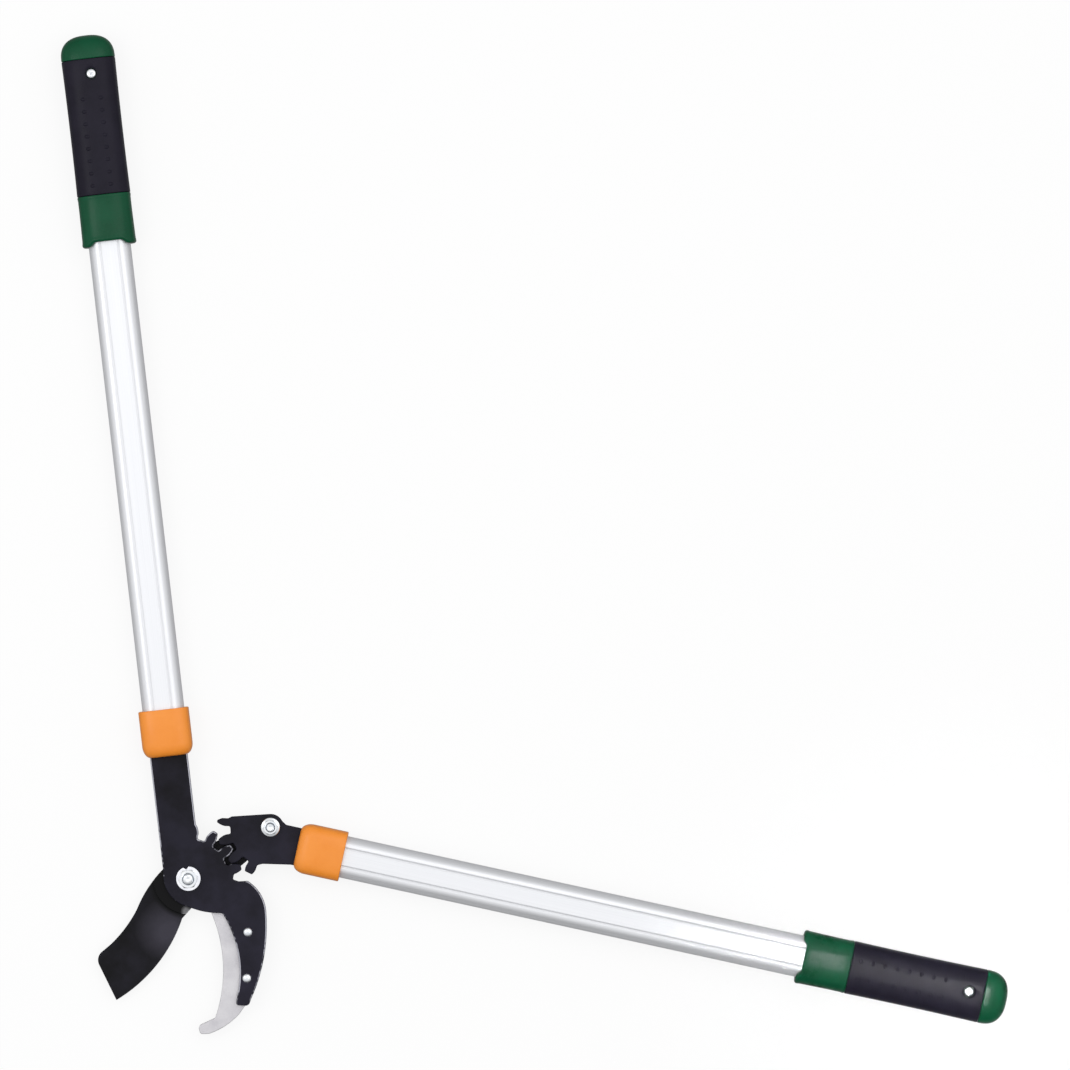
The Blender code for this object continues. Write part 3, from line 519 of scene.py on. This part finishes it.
def blade_steel():
    """The coating of the cutting blade, with its ground bevel and a bare spot at its heel, a painted
    sheen as a soft paler patch, and painted shade that darkens it round the hub.
    """
    heel, sheen_centre, hub = (-0.0045, -0.0245, 0.0122), (-0.0215, -0.037, 0.0089), (0.0, 0.0, 0.0089)
    made, tree, shader = surface("blade_coating", Specular_IOR_Level=0.12)
    place = object_place(tree)
    grain = effect(tree, GRAIN, Size=0.0004)
    smudge = effect(tree, SMUDGES, Size=0.02)
    rim = effect(tree, EDGE_WEAR_AND_GLINT, Amount=0.1, Centre=heel, Reach=0.008)
    ground = node(tree, "Attribute", attribute_name="ground").outputs["Fac"]
    from_heel = plus(tree, away_from(tree, place, heel), times(tree, smudge, 0.0016))
    spot = spread(tree, from_heel, 0.35, 0.0, 0.0026, 0.0052)
    bare = worked(tree, "ADD", plus(tree, rim, ground), spot, use_clamp=True)
    # Painted sheen: the coating is paler in a soft patch round one point, which stands for a
    # reflection on it.
    from_sheen_centre = plus(tree, away_from(tree, place, sheen_centre), times(tree, smudge, 0.006))
    patch = spread(tree, from_sheen_centre, 1.0, 0.0, 0.008, 0.026)
    turn = (0.0, 0.0, math.radians(-52.0))
    lines = effect(tree, DRAWN_LINES, Turn=turn, Width=0.00018, Length=0.012)
    steel = between(tree, lines, (0.36, 0.36, 0.38), (0.62, 0.62, 0.64))
    deep = between(tree, smudge, (0.0030, 0.0028, 0.0040), (0.010, 0.0094, 0.015))
    black_with_painted_sheen = between(tree, patch, deep, (0.044, 0.041, 0.056))
    # Painted shade: the coating is darker inside a ring round the hub, where the plate above shades
    # the blade.
    inside = spread(tree, away_from(tree, place, hub), 1.0, 0.0, 0.0275, 0.0315)
    black = between(tree, inside, black_with_painted_sheen, (0.0016, 0.0015, 0.0022))
    feed(
        tree,
        shader,
        Base_Color=between(tree, bare, black, steel),
        Metallic=bare,
        Roughness=spread(tree, grain, 0.32, 0.46),
        Normal=bumped(tree, grain, 0.00001),
    )
    return made


def counter_steel():
    """The bare steel of the counter blade, with the matt grain of fine blasting."""
    made, tree, shader = surface("counter_blade_steel", Metallic=1.0)
    grain = effect(tree, GRAIN, Size=0.0005)
    smudge = effect(tree, SMUDGES, Size=0.015)
    tone = shared(tree, grain, smudge, 0.45)
    feed(
        tree,
        shader,
        Base_Color=between(tree, tone, (0.51, 0.50, 0.53), (0.63, 0.62, 0.64)),
        Roughness=spread(tree, tone, 0.5, 0.38),
        Normal=bumped(tree, grain, 0.00002),
    )
    return made


def zinc(name, dark, light):
    """Zinc plating, a little cloudy."""
    made, tree, shader = surface(name, Metallic=1.0)
    grain = effect(tree, GRAIN, Size=0.0008)
    smudge = effect(tree, SMUDGES, Size=0.006)
    feed(
        tree,
        shader,
        Base_Color=between(tree, smudge, dark, light),
        Roughness=spread(tree, grain, 0.16, 0.3),
        Normal=bumped(tree, grain, 0.000006),
    )
    return made


def bearing_bronze():
    """The plain bronze of the bushes."""
    made, tree, shader = surface("bearing_bronze", Metallic=1.0)
    smudge = effect(tree, SMUDGES, Size=0.004)
    feed(
        tree,
        shader,
        Base_Color=between(tree, smudge, (0.42, 0.26, 0.11), (0.62, 0.42, 0.2)),
        Roughness=spread(tree, smudge, 0.3, 0.45),
    )
    return made


def anodised(name, turn):
    """Drawn and anodised aluminium, whose lines run along the handle."""
    made, tree, shader = surface(name, Metallic=0.5)
    lines = effect(tree, DRAWN_LINES, Turn=(0.0, 0.0, math.radians(-turn)))
    smudge = effect(tree, SMUDGES, Size=0.05)
    feed(
        tree,
        shader,
        Base_Color=between(tree, lines, (0.79, 0.80, 0.83), (0.84, 0.85, 0.88)),
        Roughness=spread(tree, shared(tree, lines, smudge, 0.5), 0.32, 0.42),
        Normal=bumped(tree, lines, 0.000004),
    )
    return made


def moulded(name, dark, light, rough, gloss, parting):
    """Moulded plastic with a fine grain and the line of its mould."""
    made, tree, shader = surface(name, Specular_IOR_Level=gloss)
    grain = effect(tree, GRAIN, Size=0.0004)
    smudge = effect(tree, SMUDGES, Size=0.018)
    tone = shared(tree, grain, smudge, 0.3)
    line = times(tree, effect(tree, PARTING_LINE), parting)
    height = plus(tree, times(tree, grain, 0.12), line)
    feed(
        tree,
        shader,
        Base_Color=between(tree, tone, dark, light),
        Roughness=spread(tree, tone, *rough),
        Normal=bumped(tree, height, 0.0001),
    )
    return made


ZINC = zinc("zinc_plating", (0.72, 0.75, 0.79), (0.86, 0.87, 0.88))
DULL_ZINC = zinc("washer_zinc", (0.78, 0.79, 0.85), (0.90, 0.91, 0.95))
BRONZE = bearing_bronze()
NYLON = moulded(
    "pale_nylon", (0.60, 0.59, 0.54), (0.72, 0.71, 0.66), (0.45, 0.55), gloss=0.3, parting=0.0
)
ORANGE = moulded(
    "orange_plastic",
    (0.91, 0.278, 0.022),
    (0.96, 0.320, 0.040),
    (0.28, 0.38),
    gloss=0.42,
    parting=0.5,
)
GREEN = moulded(
    "green_plastic",
    (0.0016, 0.060, 0.0245),
    (0.0024, 0.078, 0.033),
    (0.25, 0.32),
    gloss=0.18,
    parting=0.4,
)
RUBBER = moulded(
    "sleeve_rubber",
    (0.0095, 0.0083, 0.0158),
    (0.0165, 0.0145, 0.0255),
    (0.32, 0.42),
    gloss=0.11,
    parting=0.3,
)
COUNTER_STEEL = counter_steel()
BLADE_STEEL = blade_steel()


def make_plates():
    """The toothed plates, with the centre, reach and amount of the bare steel on their edges, which
    is abrasion and painted edge highlight both, where their painted sheen is palest, and the counter
    blade.
    """
    teeth = ((0.0328, 0.0156, 0.015), 0.017, 0.0)
    link_boss = ((0.0655, 0.0313, 0.015), 0.016, -0.2)
    arm = ((-0.0044, 0.066, 0.015), 0.068, 0.32)
    hook_back = ((0.062, -0.035, 0.015), 0.045, 0.32)
    hook_front = ((0.028, -0.072, 0.015), 0.035, 0.2)
    for name, body, wear_and_glint_at, sheen_palest_at in (
        ("hooked_plate", "fixed_side", [teeth, arm, hook_back, hook_front], -0.06),
        ("toothed_plate", "moving_side", [link_boss], -0.04),
    ):
        shape = break_edges(from_node(name), PLATE_EDGE)
        coating = coated_steel(f"{name}_coating", wear_and_glint_at, sheen_palest_at)
        finished(name, body, shape, coating)
    shape = break_edges(from_node("counter_blade"), THIN_EDGE)
    finished("counter_blade", "fixed_side", shape, COUNTER_STEEL)


def make_blade():
    """The cutting blade: its edge stays sharp, and its bevel is marked as ground."""
    edge_height = 0.8
    shape = from_node("cutting_blade")
    ground = shape.faces.layers.float.new("ground")
    for face in shape.faces:
        heights = [vert.co.z for vert in face.verts]
        low_wall = max(heights) - min(heights) < edge_height and abs(face.normal.z) < 0.1
        slanting = 0.1 < abs(face.normal.z) < 0.999
        face[ground] = float(slanting or low_wall)
    break_edges(shape, THIN_EDGE, leave=lambda edge: any(face[ground] for face in edge.link_faces))
    finished("cutting_blade", "blade", shape, BLADE_STEEL, sharp=12.0)


def studded(radius, pitch, bottom, thread_from, end):
    """The outline of a stud: a plain shank, rings of thread, and an end with a dimple."""
    depth = 0.55 * pitch
    outline = [(radius, bottom), (radius, thread_from)]
    height = thread_from + pitch / 2
    while height < end - pitch:
        outline += [(radius - depth, height), (radius, height + pitch / 2)]
        height += pitch
    outline += [(radius - depth / 2, end - 0.4), (radius - depth, end)]
    return outline + [(DIMPLE_RADIUS, end), (0.0, end - DIMPLE_DEPTH)]


def make_bolt(name, body, radius, pitch, head, thread_from, end, place):
    """A bolt with a low round head at the back and a threaded end at the front."""
    head_radius, low, high = head
    profile = [
        (0.0, low),
        (head_radius - 1.3, low),
        (head_radius - 0.5, low + 0.2),
        (head_radius - 0.1, low + 0.7),
        (head_radius, low + 1.2),
        (head_radius, high - 0.3),
        (head_radius - 0.3, high),
        *studded(radius, pitch, high, thread_from, end),
    ]
    finished(name, body, turned(profile, place), ZINC, sharp=50.0)


def make_nut(name, body, flats, hole, bottom, top, place, flange=None):
    """A hexagon nut: a six-sided bar cut to its chamfered turned form, then bored."""
    low = flange[1] if flange else bottom
    half, corner = flats / 2, flats / math.sqrt(3)
    bar = bmesh.new()
    bmesh.ops.create_cone(
        bar, cap_ends=True, segments=6, radius1=corner, radius2=corner, depth=top - low + 2.0
    )
    turn = Matrix.Rotation(math.radians(30.0), 3, "Z")
    bmesh.ops.rotate(bar, cent=(0.0, 0.0, 0.0), matrix=turn, verts=bar.verts)
    moved(bar, bar.verts, (*place, (top + low) / 2))
    clear = corner + 0.2
    foot = [(clear, bottom)] if flange else [(half - 0.1, bottom), (clear, bottom + CHAMFER)]
    crown = [(clear, top - CHAMFER), (half - 0.1, top)]
    envelope = [(0.0, bottom), *foot, *crown, (0.0, top)]
    shape = combined(bar, turned(envelope, place), "INTERSECT")
    if flange:
        radius, seat = flange
        skirt = [
            (0.0, bottom),
            (radius - 0.2, bottom),
            (radius, bottom + 0.2),
            (radius, bottom + 0.8),
            (radius - 0.3, bottom + 1.1),
            (half - 0.2, seat + 0.5),
            (0.0, seat + 0.5),
        ]
        shape = combined(shape, turned(skirt, place), "UNION")
    bore = [
        (0.0, bottom - 1.0),
        (hole + COUNTERSINK, bottom - 1.0),
        (hole + COUNTERSINK, bottom),
        (hole, bottom + 0.5),
        (hole, top - 0.5),
        (hole + COUNTERSINK, top),
        (hole + COUNTERSINK, top + 1.0),
        (0.0, top + 1.0),
    ]
    shape = combined(shape, turned(bore, place), "DIFFERENCE")
    finished(name, body, shape, ZINC, sharp=25.0)


def make_fasteners():
    """The bolts, nuts, washers and spacer of both pivots, and the rivets of the counter blade."""
    make_bolt("pivot_bolt", "fixed_side", 4.0, 1.25, (9.0, 0.0, 3.6), 19.0, 26.8, PIVOT_PLACE)
    make_bolt("link_bolt", "blade", 3.0, 1.0, (6.5, 1.0, 3.6), 17.5, 24.8, LINK_PLACE)
    make_nut("pivot_nut", "fixed_side", 13.0, 4.3, 19.3, 25.8, PIVOT_PLACE)
    make_nut("link_flange_nut", "blade", 10.0, 3.3, 17.8, 23.8, LINK_PLACE, flange=(7.1, 19.1))
    shape = break_edges(from_node("pivot_tab_washer"), WASHER_EDGE)
    finished("pivot_tab_washer", "fixed_side", shape, DULL_ZINC)
    for name, body, size, place in (
        ("pivot_back_washer", "fixed_side", (4.3, 10.5, 3.9, 5.1), PIVOT_PLACE),
        ("link_back_washer", "blade", (3.3, 7.5, 3.9, 5.1), LINK_PLACE),
        ("link_spacer", "blade", (3.3, 8.5, 9.2, 12.2), LINK_PLACE),
    ):
        finished(name, body, ring(*size, place), DULL_ZINC)
    for name, place in RIVETS.items():
        profile = [
            (0.0, RIVET_BACK),
            (RIVET_FOOT, RIVET_BACK),
            (RIVET_SHANK, RIVET_BACK + 1.2),
            (RIVET_SHANK, RIVET_FRONT),
        ]
        for sine, cosine in list(quarter(8))[:-1]:
            profile.append((RIVET_HEAD * cosine, RIVET_FRONT + RIVET_DOME * sine))
        profile.append((0.0, RIVET_FRONT + RIVET_DOME))
        shape = turned(profile, place)
        finished(f"{name}_rivet", "fixed_side", shape, ZINC)


def make_collar(name, body, place):
    """The collar: a rounded nose with a slot for the arm, and a bore for the tube."""
    shape = bmesh.new()
    loops = [
        *rounded_start(shape, 0.0, COLLAR_SECTION, NOSE_LENGTH, NOSE_INSET, 8),
        *rounded_end(shape, COLLAR_LENGTH, COLLAR_SECTION, COLLAR_ROUND, 4),
        loop(shape, COLLAR_LENGTH, BORE_SECTION, inset=-0.4),
        loop(shape, COLLAR_LENGTH - 0.4, BORE_SECTION),
        loop(shape, COLLAR_WALL, BORE_SECTION),
    ]
    skin(shape, loops)
    slot = block(
        (-5.0, -SLOT_WIDTH / 2, SLOT_LOW),
        (COLLAR_WALL + 5.0, SLOT_WIDTH / 2, SLOT_HIGH),
        rounding=0.5,
    )
    shape = combined(shape, slot, "DIFFERENCE")
    finished(f"{name}_collar", body, shape, ORANGE, place)


def make_tube(name, body, place, turn):
    """The tube, with two fine grooves along its front and back."""
    shape = bmesh.new()
    inner = (TUBE_WIDTH - 2 * TUBE_WALL, TUBE_THICK - 2 * TUBE_WALL)
    loops = [
        stretched_loop(shape, TUBE_START, TUBE_WIDTH, TUBE_THICK),
        stretched_loop(shape, TUBE_END, TUBE_WIDTH, TUBE_THICK),
        stretched_loop(shape, TUBE_END, *inner),
        stretched_loop(shape, TUBE_START, *inner),
    ]
    skin(shape, loops, around=True)
    for middle in (-GROOVE_AT, GROOVE_AT):
        for offset in (-GROOVE_WIDTH / 2, 0.0, GROOVE_WIDTH / 2):
            bmesh.ops.bisect_plane(
                shape,
                geom=[*shape.verts, *shape.edges, *shape.faces],
                dist=0.0001,
                plane_co=(0.0, middle + offset, 0.0),
                plane_no=(0.0, 1.0, 0.0),
            )
        for side in (-1, 1):
            face_height = MID_HEIGHT + side * TUBE_THICK / 2
            floor = [
                vert
                for vert in shape.verts
                if abs(vert.co.y - middle) < 0.01 and abs(vert.co.z - face_height) < 0.1
            ]
            moved(shape, floor, (0.0, 0.0, -side * GROOVE_DEPTH))
    finish = anodised(f"{name}_tube_anodising", turn)
    finished(f"{name}_tube", body, shape, finish, place, sharp=12.0)


def make_grip_core(name, body, place):
    """The hard part of the grip: a flared cuff, a thin wall under the sleeve, and a domed cap."""
    cuff_section = (CUFF_WIDTH, GRIP_THICK, GRIP_POWER)
    cuff_end_section = (CUFF_END_WIDTH, GRIP_THICK, GRIP_POWER)
    cap_section = (CAP_WIDTH, GRIP_THICK, GRIP_POWER)
    cuff_end, cap_start = SLEEVE_START - FIT, SLEEVE_END + FIT
    shape = bmesh.new()
    loops = [
        loop(shape, TUBE_END + FIT, BORE_SECTION),
        loop(shape, GRIP_START + 1.0, BORE_SECTION, lobe=MOUTH_LOBE),
        loop(shape, GRIP_START + 0.3, BORE_SECTION, inset=-0.6, lobe=MOUTH_LOBE),
        *rounded_start(shape, GRIP_START, cuff_section, MOUTH_ROUND, MOUTH_ROUND, 6, MOUTH_LOBE),
    ]
    # Along the cuff: the distance from its mouth, how far it is drawn in, and its share of the
    # way from the mouth's width to the end's
    for along, inset, share in (
        (2.5, 0.02, 0.0),
        (3.2, 0.15, 0.0),
        (4.2, 0.25, 0.1),
        (14.0, 0.3, 0.5),
        (24.0, 0.3, 0.9),
        (31.8, 0.25, 1.0),
        (32.8, 0.1, 1.0),
        (33.6, 0.0, 1.0),
    ):
        width = CUFF_WIDTH + (CUFF_END_WIDTH - CUFF_WIDTH) * share
        section = (width, GRIP_THICK, GRIP_POWER)
        loops.append(loop(shape, GRIP_START + along, section, inset, MOUTH_LOBE * (1 - share)))
    loops += rounded_end(shape, cuff_end, cuff_end_section, SEAM_ROUND, 3)
    loops.append(loop(shape, cuff_end, LINING_SECTION))
    loops.append(loop(shape, cap_start, LINING_SECTION))
    loops += rounded_start(shape, cap_start, cap_section, SEAM_ROUND, SEAM_ROUND, 3)
    dome_from = cap_start + CAP_STRAIGHT
    for sine, cosine in list(quarter(CAP_STEPS))[:-1]:
        share = cosine ** (2 / CAP_POWER)
        along = (GRIP_END - dome_from) * sine ** (2 / CAP_POWER)
        section = (CAP_WIDTH * share, GRIP_THICK * share, GRIP_POWER)
        loops.append(loop(shape, dome_from + along, section))
    skin(shape, loops)
    finished(f"{name}_grip_core", body, shape, GREEN, place)


def sleeve_section(along):
    """The sleeve's section at a place: it is drawn in at its waist."""
    if along < WAIST_AT:
        share, end_width = (WAIST_AT - along) / (WAIST_AT - SLEEVE_START), CUFF_END_WIDTH
    else:
        share, end_width = (along - WAIST_AT) / (SLEEVE_END - WAIST_AT), CAP_WIDTH
    width = WAIST_WIDTH + (end_width - WAIST_WIDTH) * share**2
    return width, WAIST_THICK + (GRIP_THICK - WAIST_THICK) * share**4, GRIP_POWER


def make_grip_sleeve(name, body, place, screw_place):
    """The soft sleeve, with rows of nubs on its front and back and a hole for the screw."""
    first, last = sleeve_section(SLEEVE_START), sleeve_section(SLEEVE_END)
    shape = bmesh.new()
    loops = [
        loop(shape, SLEEVE_START, LINING_SECTION, inset=-FIT),
        *rounded_start(shape, SLEEVE_START, first, SEAM_ROUND, SEAM_ROUND, 3),
    ]
    for k in range(1, SLEEVE_STEPS):
        along = SLEEVE_START + (SLEEVE_END - SLEEVE_START) * k / SLEEVE_STEPS
        loops.append(loop(shape, along, sleeve_section(along)))
    loops += rounded_end(shape, SLEEVE_END, last, SEAM_ROUND, 3)
    loops.append(loop(shape, SLEEVE_END, LINING_SECTION, inset=-FIT))
    skin(shape, loops, around=True)
    hole = [
        (0.0, SCREW_SEAT - 4.0),
        (RECESS_RADIUS, SCREW_SEAT - 4.0),
        (RECESS_RADIUS, GRIP_THICK - 1.8),
        (RECESS_RADIUS + 0.4, GRIP_THICK - 1.1),
        (RECESS_RADIUS + 1.1, GRIP_THICK - 0.4),
        (RECESS_RADIUS + 2.0, GRIP_THICK + 0.1),
        (RECESS_RADIUS + 2.0, GRIP_THICK + 5.0),
        (0.0, GRIP_THICK + 5.0),
    ]
    shape = combined(shape, turned(hole, screw_place), "DIFFERENCE")
    for k in range(NUBS):
        along = NUB_FIRST + NUB_STEP * k
        width, thick, power = sleeve_section(along)
        level = thick / 2 * (1 - (2 * NUB_ACROSS / width) ** power) ** (1 / power)
        for across in (-NUB_ACROSS, NUB_ACROSS):
            for side in (-1, 1):
                nub = bmesh.ops.create_icosphere(shape, subdivisions=2, radius=1.0)["verts"]
                bmesh.ops.scale(shape, vec=NUB_SIZE, verts=nub)
                moved(shape, nub, (along, across, MID_HEIGHT + side * (level - NUB_SUNK)))
    finished(f"{name}_grip_sleeve", body, shape, RUBBER, place)


def make_grip_screw(name, body, place, screw_place):
    """A low domed screw with a cross recess."""
    profile = [
        (0.0, SCREW_SEAT - 16.0),
        (SCREW_RADIUS - 0.7, SCREW_SEAT - 16.0),
        (SCREW_RADIUS, SCREW_SEAT - 14.6),
        (SCREW_RADIUS, SCREW_SEAT),
        (SCREW_HEAD, SCREW_SEAT),
        (SCREW_HEAD, SCREW_SEAT + 0.3),
        (SCREW_HEAD - 0.15, SCREW_SEAT + 0.75),
        (SCREW_HEAD - 0.6, SCREW_SEAT + 1.15),
        (SCREW_HEAD - 1.4, SCREW_SEAT + 1.45),
        (0.0, SCREW_SEAT + 1.6),
    ]
    shape = turned(profile, screw_place)
    for x, y in ((CROSS_LENGTH / 2, CROSS_WIDTH / 2), (CROSS_WIDTH / 2, CROSS_LENGTH / 2)):
        bar = block((-x, -y, SCREW_SEAT + 0.6), (x, y, SCREW_SEAT + 4.0))
        moved(bar, bar.verts, (*screw_place, 0.0))
        shape = combined(shape, bar, "DIFFERENCE")
    point = [
        (0.0, SCREW_SEAT),
        (CROSS_POINT, SCREW_SEAT + CROSS_POINT),
        (CROSS_POINT, SCREW_SEAT + 4.0),
        (0.0, SCREW_SEAT + 4.0),
    ]
    shape = combined(shape, turned(point, screw_place), "DIFFERENCE")
    finished(f"{name}_grip_screw", body, shape, ZINC, place)


def finish_hidden_nodes():
    """The nodes inside the handles and pivots keep their shape and get their own finish."""
    finishes = {
        "tang_core": NYLON,
        "end_plug": NYLON,
        "tang_pin_1": ZINC,
        "tang_pin_2": ZINC,
        "bush": BRONZE,
    }
    for name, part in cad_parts.items():
        for ending, finish in finishes.items():
            if name.endswith(ending):
                part.data.materials.clear()
                part.data.materials.append(finish)


def make_floor():
    """White paper for the camera, a duller one for the light that it throws back on the tool."""
    paper_shown, paper_lit = (0.95, 0.95, 0.95), (0.28, 0.28, 0.28)
    camera_white, mirrored_white = 0.86, 0.14
    shape = bmesh.new()
    bmesh.ops.create_grid(shape, x_segments=1, y_segments=1, size=8.0)
    moved(shape, shape.verts, (0.3, 0.2, 0.0))
    mesh = bpy.data.meshes.new("floor")
    shape.to_mesh(mesh)
    shape.free()
    floor = bpy.data.objects.new("floor", mesh)
    bpy.context.scene.collection.objects.link(floor)
    made = bpy.data.materials.new("floor_paper")
    made.use_nodes = True
    tree = made.node_tree
    tree.nodes.remove(tree.nodes["Principled BSDF"])
    path = node(tree, "LightPath").outputs
    mirrored = worked(tree, "MAXIMUM", path["Is Glossy Ray"], path["Is Transmission Ray"])
    seen_share = times(tree, path["Is Camera Ray"], camera_white)
    share = plus(tree, seen_share, times(tree, mirrored, mirrored_white))
    colour = between(tree, path["Is Camera Ray"], paper_lit, paper_shown)
    paper = node(tree, "BsdfDiffuse", {"Color": colour}).outputs[0]
    white = node(tree, "Emission", {"Color": (1.0, 1.0, 1.0, 1.0)}).outputs[0]
    mixed = node(tree, "MixShader", {0: share, 1: paper, 2: white}).outputs[0]
    tree.links.new(mixed, tree.nodes["Material Output"].inputs["Surface"])
    mesh.materials.append(made)


def make_light():
    """Two broad soft panels overhead, and a narrow beam on the moving grip.

    The surroundings are paler above and to both sides, and a little paler towards the fixed grip.
    """
    world = bpy.data.worlds.new("surroundings")
    world.use_nodes = True
    bpy.context.scene.world = world
    tree = world.node_tree
    path = node(tree, "LightPath").outputs
    direction = node(tree, "TexCoord").outputs["Generated"]
    away = node(tree, "SeparateXYZ", {0: direction}).outputs
    overhead = worked(tree, "POWER", worked(tree, "MAXIMUM", away["Z"], 0.0), 1.8)
    sideways = times(tree, times(tree, away["X"], away["X"]), 0.66)
    endways = times(tree, away["Y"], 0.2)
    level = spread(tree, plus(tree, overhead, plus(tree, sideways, endways)), 0.1, 1.1)
    seen = worked(tree, "MAXIMUM", path["Is Camera Ray"], path["Is Transmission Ray"])
    strength = node(tree, "Mix", {0: seen, 2: level, 3: 1.0}).outputs[0]
    background = tree.nodes["Background"]
    background.inputs["Color"].default_value = (1.0, 1.0, 1.0, 1.0)
    tree.links.new(strength, background.inputs["Strength"])
    for name, place, target, size, energy, beam in (
        ("right_panel", (0.9, 0.6, 2.0), (0.3, 0.2, 0.0), (1.6, 1.4), 5.6, 180.0),
        ("grip_panel", (0.69, -0.09, 2.0), (0.58, -0.155, 0.0), (0.24, 0.2), 0.105, 9.0),
        ("left_panel", (-0.87, 0.55, 1.9), (0.0, 0.45, 0.0), (0.6, 0.85), 4.7, 180.0),
    ):
        data = bpy.data.lights.new(name, "AREA")
        data.shape = "RECTANGLE"
        data.size, data.size_y = size
        data.energy = energy
        data.spread = math.radians(beam)
        panel = bpy.data.objects.new(name, data)
        bpy.context.scene.collection.objects.link(panel)
        panel.location = place
        aim = Vector(target) - Vector(place)
        panel.rotation_euler = aim.to_track_quat("-Z", "Y").to_euler()
        panel.visible_camera = False


def make_camera():
    """A long lens straight above, with the fixed handle leaning a little to the left."""
    distance, view_width, lean = 6.0, 0.8025, -6.6
    view_centre = (0.2877, 0.22605)
    data = bpy.data.cameras.new("camera")
    data.sensor_width = 36.0
    data.lens = data.sensor_width * distance / view_width
    camera = bpy.data.objects.new("camera", data)
    bpy.context.scene.collection.objects.link(camera)
    camera.location = (*view_centre, MID_HEIGHT * MM + distance)
    camera.rotation_euler = (0.0, 0.0, math.radians(lean))
    bpy.context.scene.camera = camera


make_camera()
make_light()
make_floor()
make_plates()
make_blade()
make_fasteners()
for handle, body, place, turn, screw_side in (
    ("fixed", "fixed_side", FIXED_PLACE, FIXED_TURN, -1),
    ("moving", "moving_side", MOVING_PLACE, MOVING_TURN, 1),
):
    screw_place = (SCREW_AT, screw_side * SCREW_ASIDE)
    make_collar(handle, body, place)
    make_tube(handle, body, place, turn)
    make_grip_core(handle, body, place)
    make_grip_sleeve(handle, body, place, screw_place)
    make_grip_screw(handle, body, place, screw_place)
finish_hidden_nodes()
bpy.context.scene.view_settings.view_transform = "Standard"
